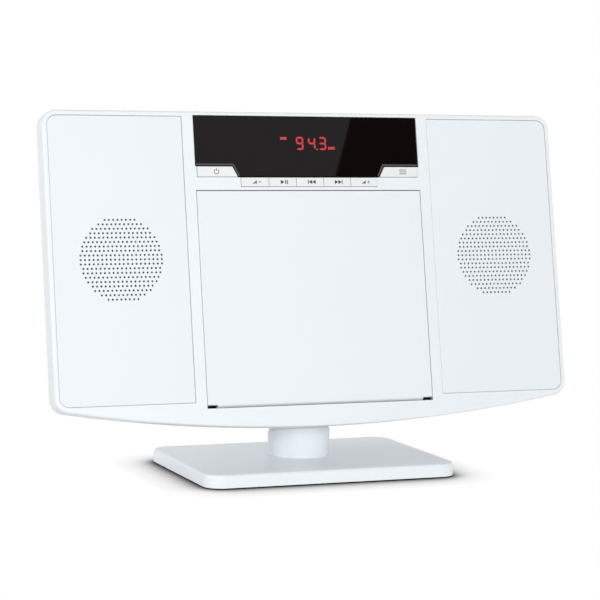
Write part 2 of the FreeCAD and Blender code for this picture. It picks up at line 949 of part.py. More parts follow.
def sled_rack():
    points = rack_profile()
    corners = [Vector(x, rack_gear_y, z) for x, z in points]
    face = Part.Face(Part.makePolygon(corners + corners[:1]))
    return face.extrude(Vector(0, rack_gear_width, 0))


def pickup_sled():
    """The sled on its two rods, with the pickup's turret in front and the rack below."""
    left = lens_start - sled_width / 2
    right = lens_start + sled_width / 2
    reach = rod_spread + bearing_half
    body = box(left, right, sled_y, sled_back, hub_z - reach, hub_z + reach)
    half = turret_width / 2
    rise = turret_height / 2
    top = seat_y + disc_gap + lens_height
    turret = box(lens_start - half, lens_start + half, top, sled_y, hub_z - rise, hub_z + rise)
    web_low = rack_z + dedendum + rack_body
    web = box(left, right, rack_gear_y, rack_gear_y + rack_gear_width, web_low, hub_z - reach)
    sled = joined([body, turret, web, sled_rack()])
    bores = []
    for sign in (-1, 1):
        bores.append(cross_pin(rod_y, hub_z + sign * rod_spread, rod_radius + running_gap, left, right))
    return sled.cut(bores).removeSplitter()


def pickup_lens():
    y = seat_y + disc_gap
    return pin(lens_start, hub_z, lens_radius, y, y + lens_height)


def involute(angle):
    return math.tan(angle) - angle


def gear(x, z, teeth, tooth_angle, y0, y1):
    """A spur gear with one tooth centred on the given angle, in the front panel's plane."""
    pitch = gear_module * teeth / 2
    base = pitch * math.cos(math.radians(pressure_angle))
    tip, root = pitch + addendum, pitch - dedendum
    start = max(base, root)
    half = math.pi / (2 * teeth) - tooth_thinning / (2 * pitch) + involute(math.radians(pressure_angle))

    def point(radius, angle):
        return Vector(x + radius * math.cos(angle), y0, z + radius * math.sin(angle))

    def flank(radius):
        return half - involute(math.acos(base / radius))

    edges = []
    middle = (start + tip) / 2
    for tooth in range(teeth):
        centre = tooth_angle + 2 * math.pi * tooth / teeth
        following = centre + 2 * math.pi / teeth
        right = [point(radius, centre - flank(radius)) for radius in (start, middle, tip)]
        left = [point(radius, centre + flank(radius)) for radius in (tip, middle, start)]
        foot_left = point(root, centre + flank(start))
        foot_right = point(root, following - flank(start))
        next_right = point(start, following - flank(start))
        edges.append(Part.Arc(*right).toShape())
        edges.append(Part.Arc(right[2], point(tip, centre), left[0]).toShape())
        edges.append(Part.Arc(*left).toShape())
        if start > root:
            edges.append(Part.makeLine(left[2], foot_left))
        edges.append(Part.Arc(foot_left, point(root, centre + math.pi / teeth), foot_right).toShape())
        if start > root:
            edges.append(Part.makeLine(foot_right, next_right))
    return Part.Face(Part.Wire(edges)).extrude(Vector(0, y1 - y0, 0))


def sled_idler_gear():
    """A large wheel driven by the motor and a small gear that drives the rack."""
    wheel = gear(idler_place, idler_z, idler_teeth, math.pi, wheel_y, wheel_y + wheel_width)
    small = gear(idler_place, idler_z, rack_gear_teeth, math.pi / 2, rack_gear_y, wheel_y)
    bore = pin(idler_place, idler_z, idler_pin_radius + running_gap, rack_gear_y, wheel_y + wheel_width)
    return wheel.fuse(small).cut(bore).removeSplitter()


def sled_pinion():
    tooth = -math.pi / pinion_teeth
    teeth = gear(pinion_x, idler_z, pinion_teeth, tooth, wheel_y, wheel_y + wheel_width)
    end = bridge_y + bridge_thickness + sled_motor_length / 2
    return teeth.fuse(pin(pinion_x, idler_z, pinion_shaft_radius, wheel_y, end)).removeSplitter()


def sled_motor():
    y0 = bridge_y + bridge_thickness
    body = pin(pinion_x, idler_z, sled_motor_radius, y0, y0 + sled_motor_length)
    bore_end = y0 + sled_motor_length / 2 + 2 * seat_gap
    return body.cut(pin(pinion_x, idler_z, pinion_shaft_radius + running_gap, y0, bore_end))


def driver_gaskets():
    ring = tube(speaker_x, speaker_z, driver_flange, driver_mouth, baffle_y, driver_y)
    hole = small_screw_radius + seat_gap
    ring = ring.cut([pin(x, z, hole, baffle_y, driver_y) for x, z in driver_screw_places(speaker_x)])
    return Part.makeCompound([ring, mirrored(ring)])


def driver_basket():
    """A stamped basket: mounting flange, four windows and a back that holds the magnet."""
    back = driver_y + basket_depth
    mouth = driver_mouth + basket_wall
    profile = [
        (driver_mouth, driver_y),
        (driver_flange, driver_y),
        (driver_flange, driver_y + flange_thickness),
        (mouth, driver_y + flange_thickness),
        (basket_back, back),
        (coil_radius, back),
        (coil_radius, back - basket_wall),
        (basket_back - basket_wall, back - basket_wall),
        (driver_mouth - basket_wall, driver_y + flange_thickness),
        (driver_mouth - basket_wall, driver_y),
    ]
    basket = turned(profile, speaker_x, speaker_z)
    half = driver_window / 2
    y0 = driver_y + 3 * flange_thickness
    y1 = back - 3 * basket_wall
    reach = driver_flange
    across = box(speaker_x - reach, speaker_x + reach, y0, y1, speaker_z - half, speaker_z + half)
    along = box(speaker_x - half, speaker_x + half, y0, y1, speaker_z - reach, speaker_z + reach)
    cuts = [across, along]
    for x, z in driver_screw_places(speaker_x):
        cuts.append(pin(x, z, small_screw_radius + seat_gap, driver_y, driver_y + flange_thickness))
    return basket.cut(cuts)


def driver_cone():
    """A paper cone with a dust cap, its rim glued inside the basket's flange."""
    rim = driver_mouth - basket_wall
    deep = driver_y + cone_depth
    cap = deep - cap_rise
    profile = [
        (0, cap),
        (cap_shoulder, cap + cone_wall),
        (coil_radius, deep),
        (rim - 4 * cone_wall, driver_y),
        (rim, driver_y),
        (rim, driver_y + cone_wall),
        (rim - 3 * cone_wall, driver_y + cone_wall),
        (coil_radius, deep + 2 * cone_wall),
        (0, deep + 2 * cone_wall),
    ]
    return turned(profile, speaker_x, speaker_z)


def driver_magnet():
    back = driver_y + basket_depth
    plate_radius = magnet_radius - 2 * basket_wall
    step = magnet_length / 4
    profile = [
        (0, back),
        (plate_radius, back),
        (plate_radius, back + step),
        (magnet_radius, back + step),
        (magnet_radius, back + magnet_length - step),
        (plate_radius, back + magnet_length - step),
        (plate_radius, back + magnet_length),
        (0, back + magnet_length),
    ]
    return turned(profile, speaker_x, speaker_z)


def driver_screws():
    seat = driver_y + flange_thickness
    places = driver_screw_places(speaker_x) + driver_screw_places(-speaker_x)
    return small_screws(places, seat, baffle_y)


def tang(grow, low):
    """The neck's flat tang, or its socket when grown."""
    half = tang_width / 2 + grow
    return box(-half, half, tang_front - grow, tang_back + grow, low, tang_height + grow)


def tang_screw_places():
    return [(sign * tang_width / 4, tang_screw_z) for sign in (-1, 1)]


def stand_pad(outer):
    """The round seat under the cabinet for the neck, with a walled socket for its tang."""
    high = rear_step + rear_bottom_taper + rear_wall + tang_wall
    half_x = neck_width / 2 - neck_shadow_gap
    half_y = neck_depth / 2 / math.cos(lean) - neck_shadow_gap
    seat = upright_block(half_x, half_y, neck_setback, min(half_x, half_y), 0, high)
    room = box(-neck_width, neck_width, front_depth, cabinet_depth, 0, high)
    socket = tang(stand_gap + tang_wall, 0)
    back = box(-tang_width / 2, tang_width / 2, tang_back, cabinet_depth, tang_wall, tang_height)
    return [seat.common(room), socket.common(outer), back.common(outer)]


def keyhole(x):
    """A round entry with a narrow slot above it."""
    y0, y1 = rear_inside, cabinet_depth
    entry = pin(x, keyhole_rise - keyhole_drop, keyhole_entry, y0, y1)
    top = pin(x, keyhole_rise, keyhole_slot, y0, y1)
    slot = box(x - keyhole_slot, x + keyhole_slot, y0, y1, keyhole_rise - keyhole_drop, keyhole_rise)
    return entry.fuse([top, slot])


def vents():
    slots = []
    for index in range(vent_count):
        x = (index - (vent_count - 1) / 2) * vent_pitch
        half = vent_width / 2
        slot = round_plate(x - half, x + half, vent_foot, vent_foot + vent_height, half,
                           rear_inside, cabinet_depth)
        slots.append(slot)
    return slots


def inlet_place():
    return board_middle + socket_pitch / 2, main_board_foot + socket_foot


def aux_place():
    return board_middle - socket_pitch / 2, main_board_foot + socket_foot


def board_post_places():
    half = main_board_width / 2 - board_post_inset
    xs = (board_middle - half, board_middle + half)
    zs = (main_board_foot + board_post_inset, main_board_foot + main_board_height - board_post_inset)
    return [(x, z) for x in xs for z in zs]


def rear_cuts():
    """Every hole through the rear cover, and the bare label's recess."""
    label_low = cabinet_depth - label_depth
    label_top = label_foot + label_height
    left = label_place - label_width / 2
    cuts = [keyhole(-keyhole_spread / 2), keyhole(keyhole_spread / 2)] + vents()
    cuts.append(box(left, left + label_width, label_low, cabinet_depth, label_foot, label_top))
    cuts.append(pin(*inlet_place(), inlet_radius + seat_gap, rear_inside, cabinet_depth))
    cuts.append(pin(*aux_place(), aux_radius + seat_gap, rear_inside, cabinet_depth))
    seat = front_depth + boss_rise + screw_well_wall
    for x, z in rear_screw_places():
        cuts.append(pin(x, z, screw_well_radius, seat, cabinet_depth))
        cuts.append(pin(x, z, screw_radius + seat_gap, front_depth + boss_rise, seat))
    for x, z in tang_screw_places():
        cuts.append(pin(x, z, screw_head_radius + seat_gap, cabinet_depth - screw_head_height, cabinet_depth))
        cuts.append(pin(x, z, screw_radius + seat_gap, tang_back, cabinet_depth))
    for x, z in board_post_places():
        cuts.append(pin(x, z, small_screw_radius + running_gap, board_back, board_back + small_screw_grip))
    return cuts


def locating_lip():
    """A thin lip that stands into the front cabinet."""
    outer = side_wall + lip_gap
    depth = front_depth - lip_depth
    end = front_depth + rear_step
    return cabinet_slab(outer, depth, end).cut(cabinet_slab(outer + lip_wall, depth, end))


def rear_cover():
    outer = rear_form(0)
    outer = outer.makeFillet(rear_soft_edge, edges_at_front(outer, cabinet_depth))
    shell = outer.cut(rear_form(rear_wall))
    pieces = [shell, locating_lip()] + stand_pad(outer)
    well_outer = screw_well_radius + screw_well_wall
    for x, z in rear_screw_places():
        pieces.append(pin(x, z, well_outer, front_depth + boss_rise, cabinet_depth).common(outer))
    for x, z in board_post_places():
        pieces.append(pin(x, z, board_post_radius, board_back, rear_inside))
    cover = joined(pieces)
    socket = tang(stand_gap, 0)
    return cover.cut(rear_cuts() + [socket]).removeSplitter()


def rear_cover_screws():
    seat = front_depth + boss_rise + screw_well_wall
    tip = front_depth + boss_rise - screw_grip + seat_gap
    return Part.makeCompound([
        screw(x, z, seat, tip, screw_radius, screw_head_radius, screw_head_height)
        for x, z in rear_screw_places()
    ])


def neck_screws():
    seat = cabinet_depth - screw_head_height
    tip = tang_back - screw_grip + seat_gap
    return Part.makeCompound([
        screw(x, z, seat, tip, screw_radius, screw_head_radius, screw_head_height)
        for x, z in tang_screw_places()
    ])


def main_board():
    top = main_board_foot + main_board_height
    right = board_left + main_board_width
    board = box(board_left, right, board_front, board_back, main_board_foot, top)
    hole = small_screw_radius + seat_gap
    return board.cut([pin(x, z, hole, board_front, board_back) for x, z in board_post_places()])


def board_screws():
    """Screws that hold the main board on the rear cover's posts, driven from the front."""
    screws = []
    for x, z in board_post_places():
        head = pin(x, z, small_head_radius, board_front - small_head_height, board_front)
        shank = pin(x, z, small_screw_radius, board_front, board_back + small_screw_grip - seat_gap)
        screws.append(head.fuse(shank).removeSplitter())
    return Part.makeCompound(screws)


def amplifier_heatsink():
    left = board_middle - heatsink_width / 2
    low = main_board_foot + main_board_height - board_post_inset - heatsink_height
    high = low + heatsink_height
    pieces = [box(left, left + heatsink_width, board_back, board_back + heatsink_foot, low, high)]
    pitch = (heatsink_width - fin_thickness) / (heatsink_fins - 1)
    for index in range(heatsink_fins):
        x = left + index * pitch
        pieces.append(box(x, x + fin_thickness, board_back, board_back + heatsink_length, low, high))
    return joined(pieces)


def board_capacitors():
    z = main_board_foot + socket_foot
    reach = main_board_width / 2 - capacitor_inset
    xs = (board_middle - reach, board_middle + reach)
    cans = []
    for x in xs:
        for rise in (0, capacitor_pitch):
            cans.append(pin(x, z + rise, capacitor_radius, board_back, board_back + capacitor_length))
    return Part.makeCompound(cans)


def socket_block(place, radius):
    """A socket body on the main board with a round neck through the rear cover."""
    x, z = place
    half = socket_body / 2
    body = box(x - half, x + half, board_back, rear_inside - seat_gap, z - half, z + half)
    return body.fuse(pin(x, z, radius, rear_inside - seat_gap, cabinet_depth))


def power_inlet():
    x, z = inlet_place()
    start = cabinet_depth - inlet_bore_depth
    bore = pin(x, z, inlet_bore, start, cabinet_depth)
    contact = pin(x, z, inlet_pin, start, rear_inside)
    return socket_block(inlet_place(), inlet_radius).cut(bore).fuse(contact).removeSplitter()


def aux_socket():
    x, z = aux_place()
    bore = pin(x, z, aux_bore, cabinet_depth - aux_bore_depth, cabinet_depth)
    return socket_block(aux_place(), aux_radius).cut(bore).removeSplitter()


def key_places():
    """Where each key's stem meets its switch, by name."""
    places = {}
    for index, name in enumerate(row_keys):
        left, right = row_key_edges(index)
        places[name] = ((left + right) / 2, (row_bottom + row_top) / 2)
    points = corner_key_points(0)
    x = (points[1][0] + points[3][0]) / 2
    z = (points[1][1] + points[3][1]) / 2
    places["standby_key"] = (-x, z)
    places["mode_key"] = (x, z)
    return places


def key_body(points, flange, place):
    """A key cap with a flange above and below it, behind the front wall, and a stem."""
    cap = plate(points, [0] * 4, -key_proud, key_flange_y)
    cap = cap.makeFillet(min(fine_edge / 2, key_proud / 2), edges_at_front(cap, -key_proud))
    left, right, low, high = flange
    lap = key_flange_lap + key_gap
    back = key_flange_y + key_flange
    wings = box(left, right, key_flange_y, back, low - lap, high + lap)
    stem = pin(*place, key_stem_radius, back, key_stem_end)
    return joined([cap, wings, stem])


def row_key(index, place):
    left, right = row_key_edges(index)
    points = [(left, row_bottom), (right, row_bottom), (right, row_top), (left, row_top)]
    return key_body(points, (left, right, row_bottom, row_top), place)


def mode_key(place):
    points = corner_key_points(0)
    flange = (points[3][0], points[1][0], points[0][1], points[2][1])
    return key_body(points, flange, place)


def key_board():
    half = door_half - key_board_margin
    high = window_top - key_board_head
    low = row_bottom + key_board_foot
    end = key_board_y + board_thickness
    board = box(-half, half, key_board_y, end, low, high)
    hole = small_screw_radius + seat_gap
    return board.cut([pin(x, z, hole, key_board_y, end) for x, z in key_board_screw_places()])


def key_board_screws():
    return small_screws(key_board_screw_places(), key_board_y + board_thickness, key_board_y)


def key_switches():
    half = switch_side / 2
    switches = []
    for x, z in key_places().values():
        body = box(x - half, x + half, key_board_y - switch_body, key_board_y, z - half, z + half)
        plunger = pin(x, z, switch_plunger_radius, switch_face, key_board_y - switch_body)
        switches.append(body.fuse(plunger).removeSplitter())
    return Part.makeCompound(switches)


def display_module():
    left = display_place - display_width / 2
    middle = window_bottom + display_rise
    half = display_height / 2
    front = panel_thickness + seat_gap
    return box(left, left + display_width, front, key_board_y, middle - half, middle + half)


def neck_column(shrink, z0, z1):
    half_x, half_y = neck_width / 2 - shrink, neck_depth / 2 - shrink
    return upright_block(half_x, half_y, neck_offset, min(half_x, half_y), z0, z1)


def above_seat(drop):
    """Everything above the cabinet's flat seat, lowered by a thickness, in the stand's frame."""
    reach = cabinet_depth + neck_depth + neck_height
    return leaned(box(-reach, reach, -reach, 2 * reach, -drop, reach))


def neck_screw_places():
    x = neck_width / 2 - neck_wall - neck_screw_inset
    y = neck_depth / 2 - neck_wall - neck_screw_inset
    return [(a * x, neck_offset + b * y) for a in (-1, 1) for b in (-1, 1)]


def stand_neck():
    """A hollow round column cut to the cabinet's lean, with a tang that stands up into it."""
    high = cabinet_z
    hollow = neck_column(neck_wall, base_top, high).cut(above_seat(neck_wall))
    column = neck_column(0, base_top, high).cut(hollow)
    bosses = [post(x, y, neck_boss_radius, base_top, high) for x, y in neck_screw_places()]
    body = joined([column] + bosses).cut(above_seat(0))
    neck = joined([body, leaned(tang(0, -neck_wall))])
    radius = base_screw_radius + running_gap
    holes = [post(x, y, radius, base_top, base_top + base_screw_grip) for x, y in neck_screw_places()]
    for x, z in tang_screw_places():
        holes.append(leaned(pin(x, z, screw_radius + running_gap, tang_back - screw_grip, tang_back)))
    return neck.cut(holes).removeSplitter()


def base_outline(shrink, z0, z1):
    half_x, half_y = base_width / 2 - shrink, base_depth / 2 - shrink
    return upright_block(half_x, half_y, 0, base_corner - shrink, z0, z1)


def foot_places():
    x, y = base_width / 2 - foot_inset, base_depth / 2 - foot_inset
    return [(a * x, b * y) for a in (-1, 1) for b in (-1, 1)]


def stand_base():
    """A flat foot with a soft upper edge, hollow underneath, with a pad for each rubber foot."""
    plate_solid = base_outline(0, foot_exposed, base_top)
    top_edges = [e for e in plate_solid.Edges if e.BoundBox.ZMin > base_top - touching]
    plate_solid = plate_solid.makeFillet(base_soft_edge, top_edges)
    hollow = base_outline(base_wall, foot_exposed, base_ceiling)
    pads = [post(x, y, foot_pad_radius, foot_exposed, base_ceiling) for x, y in foot_places()]
    base = joined([plate_solid.cut(hollow)] + pads)
    cuts = [post(x, y, foot_radius + running_gap, foot_exposed, foot_height) for x, y in foot_places()]
    radius = base_screw_radius + seat_gap
    cuts += [post(x, y, radius, base_ceiling, base_top) for x, y in neck_screw_places()]
    return base.cut(cuts).removeSplitter()


def rubber_feet():
    return Part.makeCompound([post(x, y, foot_radius, 0, foot_height) for x, y in foot_places()])


def base_weight():
    """A steel plate that fills the hollow foot, with a square notch round each pad."""
    low = base_ceiling - weight_thickness
    slab = base_outline(base_wall + weight_gap, low, base_ceiling)
    room = foot_pad_radius + weight_gap
    cuts = []
    for x, y in foot_places():
        near_x, far_x = sorted((x - math.copysign(room, x), math.copysign(base_width, x)))
        near_y, far_y = sorted((y - math.copysign(room, y), math.copysign(base_depth, y)))
        cuts.append(box(near_x, far_x, near_y, far_y, low, base_ceiling))
    cuts += [post(x, y, base_screw_radius + seat_gap, low, base_ceiling) for x, y in neck_screw_places()]
    return slab.cut(cuts)


def base_screws():
    """Screws from below through the weight and the foot into the neck."""
    seat = base_ceiling - weight_thickness
    screws = []
    for x, y in neck_screw_places():
        head = post(x, y, base_head_radius, seat - base_head_height, seat)
        shank = post(x, y, base_screw_radius, seat, base_top + base_screw_grip - seat_gap)
        screws.append(head.fuse(shank).removeSplitter())
    return Part.makeCompound(screws)


def cabinet_pieces():
    """Pieces drawn in the panel frame, by name."""
    pieces = {
        "front_cabinet": front_cabinet(),
        "rear_cover": rear_cover(),
        "rear_cover_screws": rear_cover_screws(),
        "display_window": display_window(),
        "disc_door": disc_door(),
        "door_hinge_pins": door_hinge_pins(),
        "door_striker": door_striker(),
        "latch_housing": latch_housing(),
        "latch_plunger": latch_plunger(),
        "disc_well": disc_well(),
        "well_screws": well_screws(),
        "mech_chassis": mech_chassis(),
        "mech_dampers": mech_dampers(),
        "mech_screws": mech_screws(),
        "spindle_motor": spindle_motor(),
        "turntable_hub": turntable_hub(),
        "hub_balls": hub_balls(),
        "pickup_sled": pickup_sled(),
        "pickup_lens": pickup_lens(),
        "guide_rods": guide_rods(),
        "sled_motor": sled_motor(),
        "sled_pinion": sled_pinion(),
        "sled_idler_gear": sled_idler_gear(),
        "driver_gaskets": driver_gaskets(),
        "driver_screws": driver_screws(),
        "key_board": key_board(),
        "key_board_screws": key_board_screws(),
        "key_switches": key_switches(),
        "display_module": display_module(),
        "main_board": main_board(),
        "board_screws": board_screws(),
        "amplifier_heatsink": amplifier_heatsink(),
        "board_capacitors": board_capacitors(),
        "power_inlet": power_inlet(),
        "aux_socket": aux_socket(),
        "neck_screws": neck_screws(),
    }
    pairs = {
        "speaker_panel": speaker_panel(),
        "driver_basket": driver_basket(),
        "driver_cone": driver_cone(),
        "driver_magnet": driver_magnet(),
    }
    for name, shape in pairs.items():
        pieces["right_" + name] = shape
        pieces["left_" + name] = mirrored(shape)
    return pieces


def key_pieces():
    """The seven keys, by name."""
    places = key_places()
    pieces = {}
    for index, name in enumerate(row_keys):
        pieces[name] = row_key(index, places[name])
    pieces["mode_key"] = mode_key(places["mode_key"])
    pieces["standby_key"] = mirrored(pieces["mode_key"])
    return pieces


def stand_pieces():
    """Pieces of the stand, which aren't leaned."""
    return {
        "stand_neck": stand_neck(),
        "stand_base": stand_base(),
        "base_weight": base_weight(),
        "base_screws": base_screws(),
        "rubber_feet": rubber_feet(),
    }


def main():
    os.makedirs("parts", exist_ok=True)
    pieces = {name: leaned(shape) for name, shape in (cabinet_pieces() | key_pieces()).items()}
    pieces.update(stand_pieces())
    for name, shape in pieces.items():
        shape.exportStep(f"parts/{name}.step")
        state = "valid" if shape.isValid() else "broken"
        print(name, len(shape.Solids), "solids", round(shape.Volume), "mm3", state)


main()
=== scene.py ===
# %% [markdown]
# # A white radio CD player on a stand
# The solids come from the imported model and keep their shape. This lesson dresses them: a camera, a studio,
# moulded and metal finishes built from nodes, printed signs on the keys, thin trim on the window and the
# door, lit figures in the display and two small parts that only show when the disc door is open.

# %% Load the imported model
import json
import math

import bmesh
import bpy
from mathutils import Matrix, Vector


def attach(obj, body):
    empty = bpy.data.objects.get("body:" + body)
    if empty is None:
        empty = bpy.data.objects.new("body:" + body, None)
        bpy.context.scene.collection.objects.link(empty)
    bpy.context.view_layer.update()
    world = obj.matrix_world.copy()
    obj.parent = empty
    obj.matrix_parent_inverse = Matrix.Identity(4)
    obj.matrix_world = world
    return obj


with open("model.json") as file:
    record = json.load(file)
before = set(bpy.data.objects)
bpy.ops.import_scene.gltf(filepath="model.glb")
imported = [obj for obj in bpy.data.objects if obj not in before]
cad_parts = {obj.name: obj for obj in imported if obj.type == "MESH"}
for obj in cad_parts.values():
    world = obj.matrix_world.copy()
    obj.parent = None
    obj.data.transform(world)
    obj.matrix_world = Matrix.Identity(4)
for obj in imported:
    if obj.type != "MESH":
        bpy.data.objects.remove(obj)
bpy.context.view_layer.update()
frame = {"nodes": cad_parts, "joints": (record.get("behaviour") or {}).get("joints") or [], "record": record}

scene = bpy.context.scene
scene.view_settings.view_transform = "Standard"

# %% [markdown]
# ## The front panel's own axes
# The whole front leans back, so a sign on a key is awkward to place in world axes. A key travels straight
# into the panel and the door turns on a line along its foot. Those two joints give a frame in which u runs
# to the right, depth runs into the cabinet and v runs up from the door's foot, all in millimetres. Every
# front detail is placed in it, and the places of CAD pieces are read back in it.

# %% Find the panel
MM = 0.001
HINGE_INSET = 2.4
joints = {joint["name"]: joint for joint in frame["joints"]}
inward = Vector(joints["play_press"]["axis"])
upward = Vector((0, -inward.z, inward.y))
hinge = Vector(joints["door_hinge"]["pos_m"])
door_foot = hinge - (inward + upward) * HINGE_INSET * MM
door_foot.x = 0


def on_panel(u, depth, v):
    return door_foot + Vector((u * MM, 0, 0)) + inward * depth * MM + upward * v * MM


def from_panel(point):
    reach = (point - door_foot) / MM
    return reach.x, reach.dot(inward), reach.dot(upward)


print("panel leans back", round(math.degrees(math.asin(upward.y)), 2), "degrees")

# %% [markdown]
# ## Reading a piece's front face
# A sign belongs in the middle of its key's face, whatever the key looks like behind it. So the mesh is
# read, only the points at the very front are kept, and their middle is the place.

# %% Front faces
FACE_SLACK = 0.05


def front_face(name):
    points = [from_panel(vertex.co) for vertex in frame["nodes"][name].data.vertices]
    depth = min(point[1] for point in points)
    face = [point for point in points if point[1] < depth + FACE_SLACK]
    u = (min(p[0] for p in face) + max(p[0] for p in face)) / 2
    v = (min(p[2] for p in face) + max(p[2] for p in face)) / 2
    return u, depth, v


print("play key's face is centred at", [round(value, 2) for value in front_face("play_key")])

# %% [markdown]
# ## The camera
# A long lens from the front left, a little above the cabinet and tipped down, with a slight roll. These
# values were solved from the corners of the door and the window, so the view matches without any shift.

# %% Place the camera
TURN = math.radians(21.95)
TIP = math.radians(5.3)
ROLL = math.radians(0.95)
DISTANCE = 1.7158
PIVOT = Vector((0, 0.008789, 0.290592))
SENSOR_MM = 36.0
LENS_MM = 132.6
camera_data = bpy.data.cameras.new("camera")
camera_data.sensor_width = SENSOR_MM
camera_data.lens = LENS_MM
camera = bpy.data.objects.new("camera", camera_data)
scene.collection.objects.link(camera)
level_view = Vector((math.sin(TURN), math.cos(TURN), 0))
view_line = level_view * math.cos(TIP) - Vector((0, 0, math.sin(TIP)))
level_right = Vector((math.cos(TURN), -math.sin(TURN), 0))
level_up = level_right.cross(view_line)
camera_right = level_right * math.cos(ROLL) + level_up * math.sin(ROLL)
camera_up = camera_right.cross(view_line)
camera_place = PIVOT - level_view * DISTANCE
axes = Matrix((camera_right, camera_up, -view_line)).transposed()
camera.matrix_world = Matrix.Translation(camera_place) @ axes.to_4x4()
scene.camera = camera
print("camera stands", round(camera_place.length, 3), "m from the foot")

# %% [markdown]
# ## Small tools for node trees
# Node trees are long to write socket by socket. One helper adds a node, sets its properties and feeds its
# inputs, one mixes two colours, one spreads a value over a new range and one opens a shader group with
# named sockets. The last two open an empty material and close it with its shader.

# %% Node helpers


def add(tree, kind, feeds=None, **settings):
    made = tree.nodes.new(kind)
    for key, value in settings.items():
        setattr(made, key, value)
    for key, value in (feeds or {}).items():
        if isinstance(value, bpy.types.NodeSocket):
            tree.links.new(value, made.inputs[key])
        else:
            made.inputs[key].default_value = value
    return made


def mix_colours(tree, factor, first, second):
    feeds = {"Factor": factor, "A": first, "B": second}
    return add(tree, "ShaderNodeMix", feeds, data_type="RGBA").outputs["Result"]


def spread(tree, value, low, high, to_low, to_high):
    feeds = {"Value": value, "From Min": low, "From Max": high, "To Min": to_low, "To Max": to_high}
    return add(tree, "ShaderNodeMapRange", feeds).outputs[0]


def new_group(name, inputs, outputs):
    tree = bpy.data.node_groups.new(name, "ShaderNodeTree")
    for label, kind in inputs:
        tree.interface.new_socket(label, in_out="INPUT", socket_type="NodeSocket" + kind)
    for label, kind in outputs:
        tree.interface.new_socket(label, in_out="OUTPUT", socket_type="NodeSocket" + kind)
    return tree, tree.nodes.new("NodeGroupInput").outputs, tree.nodes.new("NodeGroupOutput").inputs


def new_material(name):
    material = bpy.data.materials.new(name)
    material.use_nodes = True
    material.node_tree.nodes.clear()
    return material, material.node_tree


def close_material(tree, shader):
    add(tree, "ShaderNodeOutputMaterial", {"Surface": shader})


print("node helpers ready")

# %% [markdown]
# ## The studio: background
# The product stands on white. If the lamps were raised until the background burnt out, the white cabinet
# would burn out too. So the background is white only to the camera, to reflections and through glass, by
# the light path, and everything else gets a plain even fill from it.

# %% Background
FILL = 0.42
PURE_WHITE = (1, 1, 1, 1)


def larger(tree, first, second):
    return add(tree, "ShaderNodeMath", {0: first, 1: second}, operation="MAXIMUM").outputs[0]


def seen_directly(tree):
    path = add(tree, "ShaderNodeLightPath").outputs
    camera_or_gloss = larger(tree, path["Is Camera Ray"], path["Is Glossy Ray"])
    return larger(tree, camera_or_gloss, path["Is Transmission Ray"])


world = bpy.data.worlds.new("studio")
scene.world = world
world.use_nodes = True
sky = world.node_tree
sky.nodes.clear()
fill = add(sky, "ShaderNodeBackground", {"Color": PURE_WHITE, "Strength": FILL})
white = add(sky, "ShaderNodeBackground", {"Color": PURE_WHITE, "Strength": 1.0})
both = add(sky, "ShaderNodeMixShader", {0: seen_directly(sky), 1: fill.outputs[0], 2: white.outputs[0]})
add(sky, "ShaderNodeOutputWorld", {"Surface": both.outputs[0]})
print("background set")

# %% [markdown]
# ## The studio: floor
# A pale matt sheet. To the camera and to reflections it is the same white as the background, so no horizon
# shows, and the light that it throws back on the object stays plain. The shadow where the foot stands is an
# occlusion lookup, which darkens the white close to it. From below the sheet is clear, and the underside
# shows.

# %% Floor
FLOOR_REACH = 6.0
CONTACT_REACH = 0.034
CONTACT_DEPTH = 3.7
CONTACT_SAMPLES = 16
FLOOR_SHADE = (0.9, 0.9, 0.9, 1)
floor_mesh = bpy.data.meshes.new("floor")
sheet_corners = [(a * FLOOR_REACH, b * FLOOR_REACH, 0) for a, b in ((-1, -1), (1, -1), (1, 1), (-1, 1))]
floor_mesh.from_pydata(sheet_corners, [], [(0, 1, 2, 3)])
floor = bpy.data.objects.new("floor", floor_mesh)
scene.collection.objects.link(floor)
material, tree = new_material("floor_white")
feeds = {"Distance": CONTACT_REACH}
nearby = add(tree, "ShaderNodeAmbientOcclusion", feeds, samples=CONTACT_SAMPLES).outputs["AO"]
contact = add(tree, "ShaderNodeMath", {0: nearby, 1: CONTACT_DEPTH}, operation="POWER").outputs[0]
matt = add(tree, "ShaderNodeBsdfDiffuse", {"Color": FLOOR_SHADE}).outputs[0]
shown = add(tree, "ShaderNodeEmission", {"Color": PURE_WHITE, "Strength": contact}).outputs[0]
upper = add(tree, "ShaderNodeMixShader", {0: seen_directly(tree), 1: matt, 2: shown}).outputs[0]
clear = add(tree, "ShaderNodeBsdfTransparent").outputs[0]
below = add(tree, "ShaderNodeNewGeometry").outputs["Backfacing"]
close_material(tree, add(tree, "ShaderNodeMixShader", {0: below, 1: upper, 2: clear}).outputs[0])
floor_mesh.materials.append(material)
print("floor", 2 * FLOOR_REACH, "m across")

# %% [markdown]
# ## The studio: lamps
# A large low softbox in front lights the faces and reaches in under the cabinet as far as the neck. A
# weaker one on the left opens up the side wall, and a low one behind lights the back. The front one stays
# left of what the window mirrors, and the rear one is kept out of all gloss, because the flat top of the
# foot would mirror it.

# %% Lamps
TARGET = Vector((0, 0, 0.15))


def softbox(name, place, width, height, power, mirrored=True):
    lamp = bpy.data.lights.new(name, "AREA")
    lamp.shape = "RECTANGLE"
    lamp.size, lamp.size_y = width, height
    lamp.energy = power
    box = bpy.data.objects.new(name, lamp)
    scene.collection.objects.link(box)
    box.location = place
    box.visible_glossy = mirrored
    box.rotation_euler = (TARGET - Vector(place)).to_track_quat("-Z", "Y").to_euler()


softbox("front_softbox", (-0.15, -3.6, 0.9), width=2.4, height=1.5, power=73.0)
softbox("left_softbox", (-2.2, 0.1, 0.4), width=1.0, height=0.7, power=13.0)
softbox("rear_softbox", (-0.4, 2.8, 0.4), width=1.8, height=0.5, power=26.0, mirrored=False)

